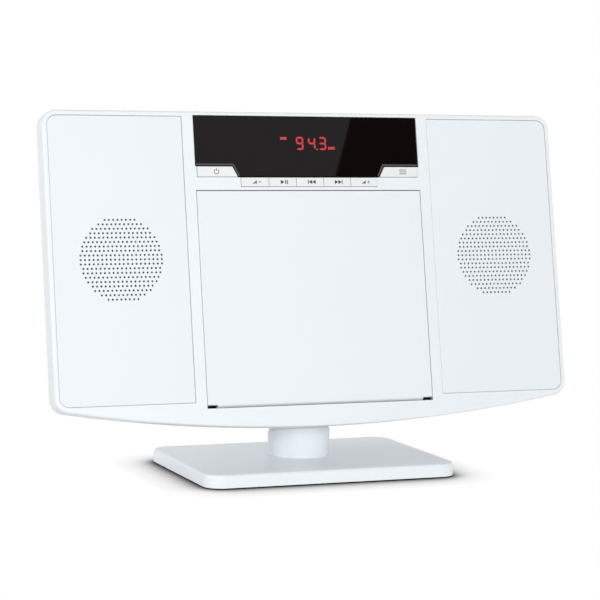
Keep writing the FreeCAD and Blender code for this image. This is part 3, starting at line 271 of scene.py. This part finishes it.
# %% [markdown]
# ## The studio: a dark card
# The window mirrors whatever stands to the right of the camera, so a dark card stands there, as a
# photographer would set one. Its slanting edge draws the sharp step of light across the glass. Two points
# of that step on the panel are mirrored out into the room, and the card's edge runs through them. Only
# reflections see the card.

# %% Dark card
CARD_REACH = 1.2
CARD_WIDTH = 1.2
CARD_SPARE = 0.5
CARD_SHADE = (0.02, 0.02, 0.02, 1)
STEP_TOP = (37.3, 220.5)
STEP_FOOT = (21.3, 174.1)


def mirrored_point(u, v):
    start = on_panel(u, 0, v)
    ray = (start - camera_place).normalized()
    return start + (ray - 2 * ray.dot(inward) * inward) * CARD_REACH


high = mirrored_point(*STEP_TOP)
low = mirrored_point(*STEP_FOOT)
along = (high - low).normalized()
across = along.cross(inward).normalized()
across *= math.copysign(1, across.x)
edge = [low - along * CARD_SPARE, high + along * CARD_SPARE]
card_corners = [edge[0], edge[0] + across * CARD_WIDTH, edge[1] + across * CARD_WIDTH, edge[1]]
card_mesh = bpy.data.meshes.new("dark_card")
card_mesh.from_pydata([tuple(corner) for corner in card_corners], [], [(0, 1, 2, 3)])
card = bpy.data.objects.new("dark_card", card_mesh)
scene.collection.objects.link(card)
material, tree = new_material("card_black")
close_material(tree, add(tree, "ShaderNodeBsdfDiffuse", {"Color": CARD_SHADE}).outputs[0])
card_mesh.materials.append(material)
card.visible_camera = False
card.visible_diffuse = False
card.visible_shadow = False
print("card edge runs from", [round(c, 2) for c in low], "to", [round(c, 2) for c in high])

# %% [markdown]
# ## Shared effect: moulded grain
# Moulded plastic is never perfectly even. The mould leaves a fine grain and the wall thickness leaves slow
# shade changes. One group gives a colour that drifts between two close shades, a roughness that follows the
# grain and a height for a bump. Image textures would need unwrapping, so noise in object space does it.

# %% Moulded grain
SURFACE_INPUTS = [("Light", "Color"), ("Dark", "Color"), ("Smooth", "Float"), ("Rough", "Float")]
SURFACE_OUTPUTS = [("Color", "Color"), ("Roughness", "Float"), ("Height", "Float")]
NOISE_LOW = 0.3
NOISE_HIGH = 0.7
SHADE_SCALE = 14.0
tree, given, result = new_group("moulded_grain", SURFACE_INPUTS + [("Grain", "Float")], SURFACE_OUTPUTS)
place = add(tree, "ShaderNodeTexCoord").outputs["Object"]
feeds = {"Vector": place, "Scale": given["Grain"], "Detail": 3.0, "Roughness": 0.6}
fine = add(tree, "ShaderNodeTexNoise", feeds).outputs[0]
slow = add(tree, "ShaderNodeTexNoise", {"Vector": place, "Scale": SHADE_SCALE, "Detail": 2.0}).outputs[0]
tree.links.new(mix_colours(tree, slow, given["Light"], given["Dark"]), result["Color"])
gloss = spread(tree, fine, NOISE_LOW, NOISE_HIGH, given["Smooth"], given["Rough"])
tree.links.new(gloss, result["Roughness"])
tree.links.new(fine, result["Height"])
print("group", tree.name)

# %% [markdown]
# ## Shared effect: drawn lines
# Rolled sheet, drawn rod and turned metal all carry fine lines in one direction. Noise stretched along one
# axis gives them. The direction is set by how much each axis is stretched.

# %% Drawn lines
tree, given, result = new_group("drawn_lines", SURFACE_INPUTS + [("Stretch", "Vector")], SURFACE_OUTPUTS)
place = add(tree, "ShaderNodeTexCoord").outputs["Object"]
pulled = add(tree, "ShaderNodeVectorMath", {0: place, 1: given["Stretch"]}, operation="MULTIPLY").outputs[0]
lines = add(tree, "ShaderNodeTexNoise", {"Vector": pulled, "Scale": 1.0, "Detail": 4.0}).outputs[0]
tree.links.new(mix_colours(tree, lines, given["Light"], given["Dark"]), result["Color"])
gloss = spread(tree, lines, NOISE_LOW, NOISE_HIGH, given["Smooth"], given["Rough"])
tree.links.new(gloss, result["Roughness"])
tree.links.new(lines, result["Height"])
print("group", tree.name)

# %% [markdown]
# ## Shared effect: soft edges
# A real edge always has a tiny round that catches light. Rounding every edge of the solids in the mesh
# would be slow and fragile, so a bevel lookup bends the normal near each edge. How far it bends also tells
# where an edge is, which makes a mask for wear.

# %% Soft edges
FLAT_MATCH = 1.0
EDGE_MATCH = 0.8
BEVEL_SAMPLES = 4
EDGE_OUTPUTS = [("Edge", "Float"), ("Normal", "Vector")]
tree, given, result = new_group("soft_edges", [("Radius", "Float")], EDGE_OUTPUTS)
bend = add(tree, "ShaderNodeBevel", {"Radius": given["Radius"]}, samples=BEVEL_SAMPLES).outputs[0]
flat = add(tree, "ShaderNodeNewGeometry").outputs["Normal"]
same = add(tree, "ShaderNodeVectorMath", {0: bend, 1: flat}, operation="DOT_PRODUCT").outputs["Value"]
tree.links.new(spread(tree, same, FLAT_MATCH, EDGE_MATCH, 0.0, 1.0), result["Edge"])
tree.links.new(bend, result["Normal"])
print("group", tree.name)

# %% [markdown]
# ## A finish from the shared effects
# Most pieces differ only in colour, grain, gloss and how their edges wear. One function places the groups,
# mixes in the worn edge colour, stacks the grain's bump on the softened normal and sets what is constant on
# the shader itself.

# %% Finish builder
RELIEF = 0.1 * MM


def finish_of(name, surface, worn, wear, edge_mm, bump, constants):
    material, tree = new_material(name)
    kind, values = surface
    base = add(tree, "ShaderNodeGroup", node_tree=bpy.data.node_groups[kind])
    for key, value in values.items():
        base.inputs[key].default_value = value
    edges = add(tree, "ShaderNodeGroup", node_tree=bpy.data.node_groups["soft_edges"])
    edges.inputs["Radius"].default_value = edge_mm * MM
    amount = add(tree, "ShaderNodeMath", {0: edges.outputs["Edge"], 1: wear}, operation="MULTIPLY").outputs[0]
    colour = mix_colours(tree, amount, base.outputs["Color"], (*worn, 1))
    feeds = {"Height": base.outputs["Height"], "Normal": edges.outputs["Normal"], "Distance": RELIEF}
    relief = add(tree, "ShaderNodeBump", {**feeds, "Strength": bump}).outputs[0]
    feeds = {"Base Color": colour, "Roughness": base.outputs["Roughness"], "Normal": relief}
    shader = add(tree, "ShaderNodeBsdfPrincipled", {**feeds, **constants})
    close_material(tree, shader.outputs[0])
    return material


def moulded(light, dark, grain, smooth, rough):
    values = {"Light": (*light, 1), "Dark": (*dark, 1), "Grain": grain, "Smooth": smooth, "Rough": rough}
    return "moulded_grain", values


def drawn(light, dark, stretch, smooth, rough):
    values = {"Light": (*light, 1), "Dark": (*dark, 1), "Stretch": stretch, "Smooth": smooth, "Rough": rough}
    return "drawn_lines", values


finishes = {}
print("finish builder ready")

# %% [markdown]
# ## White plastics
# Three whites. The shell has a soft sheen, the speaker panels and the door have a finer satin grain, and
# the keys are a touch warmer. Keeping their shades close but different is what makes the parts read as
# parts.

# %% White plastics
WORN_WHITE = (0.93, 0.94, 0.94)
finishes["white_shell"] = finish_of(
    "white_shell",
    moulded((0.85, 0.888, 0.915), (0.835, 0.872, 0.9), grain=2200.0, smooth=0.28, rough=0.38),
    WORN_WHITE, wear=0.5, edge_mm=0.5, bump=0.02, constants={"IOR": 1.4})
finishes["white_panel"] = finish_of(
    "white_panel",
    moulded((0.83, 0.87, 0.905), (0.815, 0.855, 0.89), grain=4200.0, smooth=0.34, rough=0.46),
    WORN_WHITE, wear=0.4, edge_mm=0.4, bump=0.05, constants={"IOR": 1.42})
finishes["white_key"] = finish_of(
    "white_key",
    moulded((0.83, 0.845, 0.845), (0.815, 0.83, 0.83), grain=3200.0, smooth=0.28, rough=0.36),
    WORN_WHITE, wear=0.5, edge_mm=0.3, bump=0.03, constants={"IOR": 1.46})
print("whites:", len(finishes))

# %% [markdown]
# ## Dark plastics and rubber
# The inside of the disc compartment, the sockets and the switches are black moulded plastic with a coarser
# spark-eroded grain. The gears are a milky natural plastic and the feet are soft black rubber, almost
# without gloss.

# %% Dark plastics and rubber
finishes["black_plastic"] = finish_of(
    "black_plastic",
    moulded((0.022, 0.022, 0.024), (0.013, 0.013, 0.015), grain=2600.0, smooth=0.42, rough=0.6),
    (0.06, 0.06, 0.063), wear=0.5, edge_mm=0.4, bump=0.25, constants={"IOR": 1.46})
finishes["gear_plastic"] = finish_of(
    "gear_plastic",
    moulded((0.72, 0.71, 0.66), (0.66, 0.65, 0.6), grain=1800.0, smooth=0.3, rough=0.42),
    (0.82, 0.81, 0.77), wear=0.5, edge_mm=0.1, bump=0.05, constants={"IOR": 1.5})
finishes["soft_rubber"] = finish_of(
    "soft_rubber",
    moulded((0.02, 0.02, 0.021), (0.011, 0.011, 0.012), grain=1500.0, smooth=0.72, rough=0.88),
    (0.07, 0.07, 0.07), wear=0.6, edge_mm=0.5, bump=0.35, constants={"IOR": 1.5})
finishes["capacitor"] = finish_of(
    "capacitor",
    moulded((0.03, 0.04, 0.07), (0.02, 0.025, 0.05), grain=900.0, smooth=0.3, rough=0.4),
    (0.2, 0.2, 0.22), wear=0.4, edge_mm=0.3, bump=0.05, constants={"IOR": 1.5})
finishes["magnet"] = finish_of(
    "magnet",
    moulded((0.05, 0.05, 0.052), (0.03, 0.03, 0.032), grain=1600.0, smooth=0.55, rough=0.75),
    (0.12, 0.12, 0.12), wear=0.5, edge_mm=0.4, bump=0.2, constants={"IOR": 1.6})
print("finishes:", len(finishes))

# %% [markdown]
# ## Metals
# The guide rods and motors are bright drawn steel, the screws are duller plated steel, and the weight in
# the foot is grey cast plate. All use the drawn lines with a different stretch, so none of them is a plain
# mirror.

# %% Metals
BRIGHT_EDGE = (0.8, 0.8, 0.79)
METAL = {"Metallic": 1.0}
finishes["steel"] = finish_of(
    "steel",
    drawn((0.62, 0.62, 0.61), (0.5, 0.5, 0.5), stretch=(60.0, 2500.0, 2500.0), smooth=0.2, rough=0.34),
    BRIGHT_EDGE, wear=0.6, edge_mm=0.2, bump=0.08, constants=METAL)
finishes["screw_steel"] = finish_of(
    "screw_steel",
    drawn((0.44, 0.43, 0.41), (0.33, 0.32, 0.31), stretch=(2200.0, 300.0, 2200.0), smooth=0.28, rough=0.45),
    BRIGHT_EDGE, wear=0.7, edge_mm=0.2, bump=0.1, constants=METAL)
finishes["cast_weight"] = finish_of(
    "cast_weight",
    drawn((0.24, 0.24, 0.25), (0.17, 0.17, 0.175), stretch=(400.0, 1500.0, 400.0), smooth=0.42, rough=0.6),
    (0.5, 0.5, 0.5), wear=0.6, edge_mm=0.4, bump=0.2, constants=METAL)
finishes["heatsink"] = finish_of(
    "heatsink",
    drawn((0.68, 0.69, 0.7), (0.56, 0.57, 0.58), stretch=(2500.0, 2500.0, 80.0), smooth=0.3, rough=0.44),
    BRIGHT_EDGE, wear=0.5, edge_mm=0.2, bump=0.1, constants=METAL)
finishes["basket"] = finish_of(
    "basket",
    drawn((0.12, 0.12, 0.125), (0.08, 0.08, 0.085), stretch=(1400.0, 1400.0, 1400.0), smooth=0.4, rough=0.55),
    (0.35, 0.35, 0.35), wear=0.6, edge_mm=0.3, bump=0.12, constants=METAL)
print("finishes:", len(finishes))

# %% [markdown]
# ## Circuit board
# A board is green lacquer over copper tracks. A brick pattern gives long tracks with regular breaks, and
# the lacquer over copper is a little lighter and stands up a little. Nothing else has this pattern, so it
# needs no group.

# %% Circuit board
material, tree = new_material("board")
place = add(tree, "ShaderNodeTexCoord").outputs["Object"]
turned = add(tree, "ShaderNodeMapping", {"Vector": place, "Rotation": (math.radians(90), 0, 0)})
tracks = add(tree, "ShaderNodeTexBrick", {
    "Vector": turned.outputs[0], "Scale": 160.0, "Mortar Size": 0.09, "Mortar Smooth": 0.1,
    "Color1": (0.014, 0.1, 0.045, 1), "Color2": (0.018, 0.12, 0.055, 1), "Mortar": (0.008, 0.055, 0.026, 1)})
feeds = {"Strength": 0.3, "Distance": 0.05 * MM, "Height": tracks.outputs["Fac"]}
raised = add(tree, "ShaderNodeBump", feeds, invert=True).outputs[0]
sheen = spread(tree, tracks.outputs["Fac"], 0.0, 1.0, 0.24, 0.4)
feeds = {"Base Color": tracks.outputs["Color"], "Roughness": sheen, "Normal": raised}
close_material(tree, add(tree, "ShaderNodeBsdfPrincipled", feeds).outputs[0])
finishes["board"] = material
print("finishes:", len(finishes))

# %% [markdown]
# ## Loudspeaker cone
# Pressed paper: dark pulp with pale fibres lying every way. Two noises multiplied keep the fibres sparse,
# and the same pattern lifts the surface slightly.

# %% Loudspeaker cone
material, tree = new_material("cone")
place = add(tree, "ShaderNodeTexCoord").outputs["Object"]
feeds = {"Vector": place, "Scale": 900.0, "Detail": 5.0, "Distortion": 2.0}
pulp = add(tree, "ShaderNodeTexNoise", feeds).outputs[0]
sparse = add(tree, "ShaderNodeTexNoise", {"Vector": place, "Scale": 240.0, "Detail": 2.0}).outputs[0]
fibre = add(tree, "ShaderNodeMath", {0: pulp, 1: sparse}, operation="MULTIPLY").outputs[0]
shown = spread(tree, fibre, 0.15, 0.45, 0.0, 1.0)
shade = mix_colours(tree, shown, (0.012, 0.012, 0.013, 1), (0.045, 0.043, 0.041, 1))
relief = add(tree, "ShaderNodeBump", {"Strength": 0.4, "Distance": RELIEF, "Height": fibre}).outputs[0]
feeds = {"Base Color": shade, "Roughness": spread(tree, fibre, 0.1, 0.5, 0.8, 0.95), "Normal": relief}
close_material(tree, add(tree, "ShaderNodeBsdfPrincipled", feeds).outputs[0])
finishes["cone"] = material
print("finishes:", len(finishes))

# %% [markdown]
# ## Display window and lens
# The window is polished smoked acrylic. It shows almost only what it mirrors, so its colour is nearly black
# and its roughness is tiny, with a faint cloud of handling marks. The lens is the same idea in miniature,
# with a violet coating.

# %% Display window and lens
finishes["dark_window"] = finish_of(
    "dark_window",
    moulded((0.0055, 0.0032, 0.0032), (0.004, 0.0024, 0.0024), grain=60.0, smooth=0.015, rough=0.03),
    (0.012, 0.012, 0.012), wear=0.5, edge_mm=0.3, bump=0.0, constants={"IOR": 1.28})
finishes["lens"] = finish_of(
    "lens",
    moulded((0.05, 0.02, 0.12), (0.02, 0.01, 0.06), grain=300.0, smooth=0.02, rough=0.05),
    (0.3, 0.25, 0.4), wear=0.5, edge_mm=0.2, bump=0.0, constants={"IOR": 1.6, "Coat Weight": 1.0})
print("finishes:", len(finishes))

# %% [markdown]
# ## Dressing the solids
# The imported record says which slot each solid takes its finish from. Its object keeps its mesh and only its
# material changes.

# %% Dress the solids
slot_of = {row["node"]: row["material_slot"] for row in frame["record"]["subparts"]}
for name, piece in frame["nodes"].items():
    piece.data.materials.clear()
    piece.data.materials.append(finishes[slot_of[name]])
print("dressed", len(slot_of), "solids with", len(set(slot_of.values())), "finishes")

# %% [markdown]
# ## Flat details on the front
# Ink, display segments and the window's lip are thin shapes on a face. Each outline is given in the panel's
# millimetres and extruded a few hundredths, so it is real geometry with its own edge, and it is sunk a
# little so that it never floats.

# %% Thin shapes


def add_prism(bm, outline, back, front):
    rear = [bm.verts.new(on_panel(u, back, v)) for u, v in outline]
    face = [bm.verts.new(on_panel(u, front, v)) for u, v in outline]
    bm.faces.new(face)
    bm.faces.new(rear)
    for index in range(len(outline)):
        following = (index + 1) % len(outline)
        bm.faces.new((face[index], face[following], rear[following], rear[index]))


def mesh_piece(name, bm, material, body):
    bmesh.ops.recalc_face_normals(bm, faces=bm.faces)
    mesh = bpy.data.meshes.new(name)
    bm.to_mesh(mesh)
    bm.free()
    mesh.materials.append(material)
    piece = bpy.data.objects.new(name, mesh)
    scene.collection.objects.link(piece)
    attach(piece, body)
    return piece


def thin_piece(name, outlines, face_depth, rise, material, body):
    bm = bmesh.new()
    for outline in outlines:
        add_prism(bm, outline, face_depth + rise, face_depth - rise)
    return mesh_piece(name, bm, material, body)


print("thin shapes ready")

# %% [markdown]
# ## Signs as outlines
# All the signs are made of four shapes: a bar, an arrow, a cross and an open ring. Writing them as outlines
# keeps each sign a short list.

# %% Sign outlines
RING_STEPS = 48


def bar(u0, u1, v0, v1):
    return [(u0, v0), (u1, v0), (u1, v1), (u0, v1)]


def arrow(u, v, length, height):
    return [(u, v - height / 2), (u + length, v), (u, v + height / 2)]


def cross(u, v, reach, half):
    quarter = [(half, reach), (half, half), (reach, half)]
    outline = []
    for _ in range(4):
        outline += [(u + a, v + b) for a, b in quarter]
        quarter = [(b, -a) for a, b in quarter]
    return outline


def open_ring(u, v, inner, outer, gap_degrees):
    first = math.radians(90 + gap_degrees / 2)
    sweep = math.radians(360 - gap_degrees)
    angles = [first + sweep * step / RING_STEPS for step in range(RING_STEPS + 1)]
    rim = [(u + outer * math.cos(a), v + outer * math.sin(a)) for a in angles]
    hole = [(u + inner * math.cos(a), v + inner * math.sin(a)) for a in reversed(angles)]
    return rim + hole


print("a cross has", len(cross(0, 0, 1.0, 0.3)), "points")

# %% [markdown]
# ## Ink
# Pad-printed ink is matt and a little uneven. The transport arrows are nearly black and the other signs are
# grey.

# %% Ink
ink_dark = finish_of(
    "ink_dark",
    moulded((0.03, 0.03, 0.032), (0.02, 0.02, 0.022), grain=6000.0, smooth=0.45, rough=0.6),
    (0.06, 0.06, 0.06), wear=0.3, edge_mm=0.02, bump=0.05, constants={"IOR": 1.45})
ink_grey = finish_of(
    "ink_grey",
    moulded((0.2, 0.2, 0.205), (0.15, 0.15, 0.155), grain=6000.0, smooth=0.45, rough=0.6),
    (0.3, 0.3, 0.3), wear=0.3, edge_mm=0.02, bump=0.05, constants={"IOR": 1.45})
print("inks: 2")

# %% [markdown]
# ## Signs on the row of keys
# The usual arrows for play, previous and next, and a ramp with minus or plus for loudness. Each sign sits a
# little right of its key's middle, as printed, and rides on its key so that it goes in with it.

# %% Row signs
INK_RISE = 0.05
SIGN_SHIFT = 1.2
SIGN_HALF = 1.6
THIN_HALF = 0.3
RAMP_START, RAMP_END, RAMP_HALF = -3.6, 0.2, 1.3
MINUS_SPAN = (1.4, 3.6)
PLUS_U, PLUS_REACH = 2.5, 1.15
PLAY_U, PLAY_LENGTH = -2.9, 3.0
PAUSE_BARS = ((0.7, 1.4), (2.1, 2.8))
SKIP_TAILS = (3.3, 0.4)
SKIP_LENGTH = 2.8
SKIP_BAR = (2.5, 3.1)


def tall_bar(u, v, start, end):
    return bar(u + start, u + end, v - SIGN_HALF, v + SIGN_HALF)


def ramp(u, v):
    return [(u + RAMP_START, v - RAMP_HALF), (u + RAMP_END, v - RAMP_HALF), (u + RAMP_END, v + RAMP_HALF)]


def volume_down_sign(u, v):
    start, end = MINUS_SPAN
    return [ramp(u, v), bar(u + start, u + end, v - THIN_HALF, v + THIN_HALF)]


def volume_up_sign(u, v):
    return [ramp(u, v), cross(u + PLUS_U, v, PLUS_REACH, THIN_HALF)]


def play_sign(u, v):
    pause = [tall_bar(u, v, *span) for span in PAUSE_BARS]
    return [arrow(u + PLAY_U, v, PLAY_LENGTH, 2 * SIGN_HALF)] + pause


def next_sign(u, v):
    arrows = [arrow(u - tail, v, SKIP_LENGTH, 2 * SIGN_HALF) for tail in SKIP_TAILS]
    return arrows + [tall_bar(u, v, *SKIP_BAR)]


def previous_sign(u, v):
    return [[(2 * u - a, b) for a, b in outline] for outline in next_sign(u, v)]


row_signs = {
    "volume_down_key": (volume_down_sign, ink_grey), "play_key": (play_sign, ink_dark),
    "previous_key": (previous_sign, ink_dark), "next_key": (next_sign, ink_dark),
    "volume_up_key": (volume_up_sign, ink_grey)}
for key, (sign, ink) in row_signs.items():
    u, depth, v = front_face(key)
    thin_piece(key + "_sign", sign(u + SIGN_SHIFT, v), depth, INK_RISE, ink, key + "_body")
print("row signs:", len(row_signs))

# %% [markdown]
# ## Signs on the corner keys
# An open ring with a stroke for standby and three lines for mode. These keys are wide and cut at a slant,
# so the sign stands where the real print does and only its depth is read from the key.

# %% Corner signs
CORNER_V = 178.3
STANDBY_U = -76.0
RING_RADII = (1.55, 2.15)
RING_GAP = 70
STROKE_SPAN = (0.5, 2.5)
MODE_SPAN = (75.6, 81.6)
MODE_PITCH = 1.5
ring = open_ring(STANDBY_U, CORNER_V, *RING_RADII, RING_GAP)
stroke_foot, stroke_head = (CORNER_V + rise for rise in STROKE_SPAN)
stroke = bar(STANDBY_U - THIN_HALF, STANDBY_U + THIN_HALF, stroke_foot, stroke_head)
mode_heights = [CORNER_V + line * MODE_PITCH for line in (-1, 0, 1)]
mode_lines = [bar(*MODE_SPAN, height - THIN_HALF, height + THIN_HALF) for height in mode_heights]
for key, outlines in (("standby_key", [ring, stroke]), ("mode_key", mode_lines)):
    thin_piece(key + "_sign", outlines, front_face(key)[1], INK_RISE, ink_grey, key + "_body")
print("corner signs: 2")

# %% [markdown]
# ## Painted reflection on the window's lip
# The stepped lower edge of the glass has a narrow lip along both wings and slants. Its grey is a painted
# reflection: it stands in for the white that the edge's bevel mirrors beside the polished black. A mask in
# the glass's own material would be soft at the corners, so the lip is a thin shape. The corners of one half
# are read from the glass itself, and the other half is their mirror image.

# %% Lip with painted reflection
LIP = 1.2
LIP_RISE = 0.03
# Painted reflection: this grey stands in for the white that the window's bevel mirrors.
lip_painted_reflection = finish_of(
    "lip_painted_reflection",
    moulded((0.075, 0.072, 0.072), (0.05, 0.048, 0.048), grain=3000.0, smooth=0.45, rough=0.6),
    (0.12, 0.12, 0.12), wear=0.5, edge_mm=0.02, bump=0.1, constants={"IOR": 1.4})
window_points = [from_panel(vertex.co) for vertex in frame["nodes"]["display_window"].data.vertices]
glass = front_face("display_window")[1]
front = [(u, v) for u, depth, v in window_points if depth < glass + FACE_SLACK]
half = {(round(u, 3), round(v, 3)) for u, v in front if u > 0}
foot, wing, end = sorted(half, key=lambda point: (point[1], point[0]))[:3]
slant = (Vector(wing) - Vector(foot)).normalized()
inner_foot = Vector(foot) + Vector((-slant.y, slant.x)) * LIP
inner_end = Vector(end) + Vector((0.0, LIP))
corner = inner_foot + slant * ((inner_end.y - inner_foot.y) / slant.y)
right_lip = [foot, wing, end, tuple(inner_end), tuple(corner), tuple(inner_foot)]
left_lip = [(-u, v) for u, v in reversed(right_lip)]
thin_piece("window_lip", [left_lip, right_lip], glass, LIP_RISE, lip_painted_reflection, "cabinet")
print("lip runs from", foot, "by", wing, "to", end)

# %% [markdown]
# ## Sleeve on the door's hinge bead
# The door turns on a round bead along its foot, and a soft sleeve round the bead half closes the gap to the
# sill and keeps dust out. The sleeve's grey is painted shade: it is darker than the door's white to stand in
# for the shade on the bead's downward-facing round, and shows as a grey line between the two black notches.
# A band of the bead's own circle, drawn out along the panel, rides on the door and clears the sill at every
# angle.

# %% Hinge sleeve
SLEEVE_RADII = (2.3, 2.85)
SLEEVE_ARC = (33, 130)
SLEEVE_STEP = 8
BEAD_TOP = 1.0
# Painted shade: this grey stands in for the shade on the bead's lower round.
sleeve_painted_shade = finish_of(
    "sleeve_painted_shade",
    moulded((0.7, 0.71, 0.715), (0.65, 0.66, 0.665), grain=1600.0, smooth=0.55, rough=0.7),
    (0.74, 0.75, 0.75), wear=0.3, edge_mm=0.05, bump=0.1, constants={"IOR": 1.35})
door_points = [from_panel(vertex.co) for vertex in frame["nodes"]["disc_door"].data.vertices]
bead_end = max(u for u, depth, v in door_points if v < BEAD_TOP)
turns = [math.radians(angle) for angle in range(*SLEEVE_ARC, SLEEVE_STEP)]
inner, outer = SLEEVE_RADII
band = [(outer, turn) for turn in turns] + [(inner, turn) for turn in reversed(turns)]
section = [(HINGE_INSET - r * math.cos(turn), HINGE_INSET - r * math.sin(turn)) for r, turn in band]
bm = bmesh.new()
ends = [[bm.verts.new(on_panel(u, depth, v)) for depth, v in section] for u in (-bead_end, bead_end)]
for end_loop in ends:
    bm.faces.new(end_loop)
for index in range(len(section)):
    after = (index + 1) % len(section)
    bm.faces.new((ends[0][index], ends[0][after], ends[1][after], ends[1][index]))
sleeve = mesh_piece("door_hinge_sleeve", bm, sleeve_painted_shade, "door")
print("sleeve half length, mm:", round(bead_end, 2))

# %% [markdown]
# ## Lit figures: the red
# The display behind the glass is made of red segments. The red glows by emission, a little unevenly, as
# light through a diffuser does, and it is strong enough to read but not to burn out.

# %% Display red
display_red, tree = new_material("display_red")
place = add(tree, "ShaderNodeTexCoord").outputs["Object"]
cloud = add(tree, "ShaderNodeTexNoise", {"Vector": place, "Scale": 700.0, "Detail": 2.0}).outputs[0]
glow = mix_colours(tree, cloud, (0.62, 0.016, 0.028, 1), (0.5, 0.03, 0.04, 1))
feeds = {"Base Color": (0.03, 0.002, 0.003, 1), "Roughness": 0.1}
feeds |= {"Emission Color": glow, "Emission Strength": 1.0}
close_material(tree, add(tree, "ShaderNodeBsdfPrincipled", feeds).outputs[0])
print("display red ready")

# %% [markdown]
# ## Lit figures: the segments
# A figure is a set of bars with pointed ends, as on any seven-segment display. The letters a to g are the
# usual names of the seven bars, from the top round and then the middle.

# %% Segments
FIGURE_WIDTH = 6.2
FIGURE_HEIGHT = 10.3
FIGURE_FOOT = 195.3
STROKE = 1.5
SLIT = 0.12
LIT = {"9": "abcdfg", "4": "bcfg", "3": "abcdg"}
half_stroke = STROKE / 2


def flat_segment(u, v):
    start, end = u + 2 * SLIT, u + FIGURE_WIDTH - 2 * SLIT
    inner, outer = start + STROKE, end - STROKE
    top, foot = v + half_stroke, v - half_stroke
    return [(start, v), (inner, top), (outer, top), (end, v), (outer, foot), (inner, foot)]


def upright_segment(u, low_end, high_end):
    start, end = low_end + SLIT, high_end - SLIT
    inner, outer = start + half_stroke, end - half_stroke
    left, right = u - half_stroke, u + half_stroke
    return [(u, start), (right, inner), (right, outer), (u, end), (left, outer), (left, inner)]


def figure(symbol, u):
    foot, head = FIGURE_FOOT + half_stroke, FIGURE_FOOT + FIGURE_HEIGHT - half_stroke
    middle = FIGURE_FOOT + FIGURE_HEIGHT / 2
    left, right = u + half_stroke, u + FIGURE_WIDTH - half_stroke
    shapes = {
        "a": flat_segment(u, head), "g": flat_segment(u, middle), "d": flat_segment(u, foot),
        "f": upright_segment(left, middle, head), "b": upright_segment(right, middle, head),
        "e": upright_segment(left, foot, middle), "c": upright_segment(right, foot, middle)}
    return [shapes[letter] for letter in LIT[symbol]]


print("a 9 has", len(figure("9", 0.0)), "segments")

# %% [markdown]
# ## Lit figures: the number
# A plain number with a point, and two small marks beside it. They lie on the glass, because the glass is
# too dark to look through, and they ride on the cabinet with it.

# %% Number and marks
GLOW_RISE = 0.04
NUMBER = (("9", -9.7), ("4", 0.3), ("3", 9.2))
POINT_SPAN = (7.1, 8.3)
POINT_HEIGHT = 1.2
LOW_MARK = (16.8, 22.4, 195.7, 197.9)
HIGH_MARK = (-22.6, -17.2, 203.2, 205.3)
outlines = [outline for symbol, u in NUMBER for outline in figure(symbol, u)]
outlines.append(bar(*POINT_SPAN, FIGURE_FOOT, FIGURE_FOOT + POINT_HEIGHT))
thin_piece("display_figures", outlines, glass, GLOW_RISE, display_red, "cabinet")
marks = [bar(*LOW_MARK), bar(*HIGH_MARK)]
thin_piece("display_marks", marks, glass, GLOW_RISE, display_red, "cabinet")
print("lit shapes:", len(outlines) + len(marks))

# %% [markdown]
# ## Inside the disc compartment
# Behind the door a disc rests on a rubber ring on the turntable, and a low black rim guards the pickup's
# lens. Both are turned shapes, so a profile of radius and depth is swept round. The ring rides on the
# turntable and the rim on the sled.

# %% Turned shapes
SWEEP_STEPS = 96


def turned_piece(name, u, v, profile, material, body):
    bm = bmesh.new()
    rings = []
    for step in range(SWEEP_STEPS):
        angle = 2 * math.pi * step / SWEEP_STEPS
        a, b = math.cos(angle), math.sin(angle)
        rings.append([bm.verts.new(on_panel(u + r * a, depth, v + r * b)) for r, depth in profile])
    for here, there in zip(rings, rings[1:] + rings[:1]):
        for index in range(len(profile)):
            after = (index + 1) % len(profile)
            bm.faces.new((here[index], here[after], there[after], there[index]))
    return mesh_piece(name, bm, material, body)


print("turned shapes ready")

# %% [markdown]
# ## Disc ring and lens rim
# The ring lies on the hub's seat, a little under the nose's top, and stands up far less than a disc is
# thick. The rim is as high as the lens, with a cut edge, so that a disc would touch it and not the glass.

# %% Disc ring and lens rim
NOSE_HEIGHT = 3.6
LENS_HEIGHT = 1.1
SINK = 0.05
DISC_RING = (9.0, 14.5)
DISC_RING_RISE = 0.4
DISC_RING_ROUND = (0.3, 0.1)
RIM_RADII = (2.6, 3.4, 4.2)
RIM_CUT = 0.6
u, nose, v = front_face("turntable_hub")
seat = nose + NOSE_HEIGHT
inner, outer = DISC_RING
top = seat - DISC_RING_RISE
across, down = DISC_RING_ROUND
profile = [(inner, seat + SINK), (inner, top + down), (inner + across, top)]
profile += [(outer - across, top), (outer, top + down), (outer, seat + SINK)]
disc_ring = turned_piece("disc_ring", u, v, profile, finishes["soft_rubber"], "turntable")
u, lens, v = front_face("pickup_lens")
turret = lens + LENS_HEIGHT
inner, crown, outer = RIM_RADII
profile = [(inner, turret + SINK), (inner, lens), (crown, lens)]
profile += [(outer, lens + RIM_CUT), (outer, turret + SINK)]
lens_rim = turned_piece("lens_rim", u, v, profile, finishes["black_plastic"], "sled")
print("disc ring at depth", round(seat, 2), "and lens rim at", [round(value, 2) for value in (u, lens, v)])
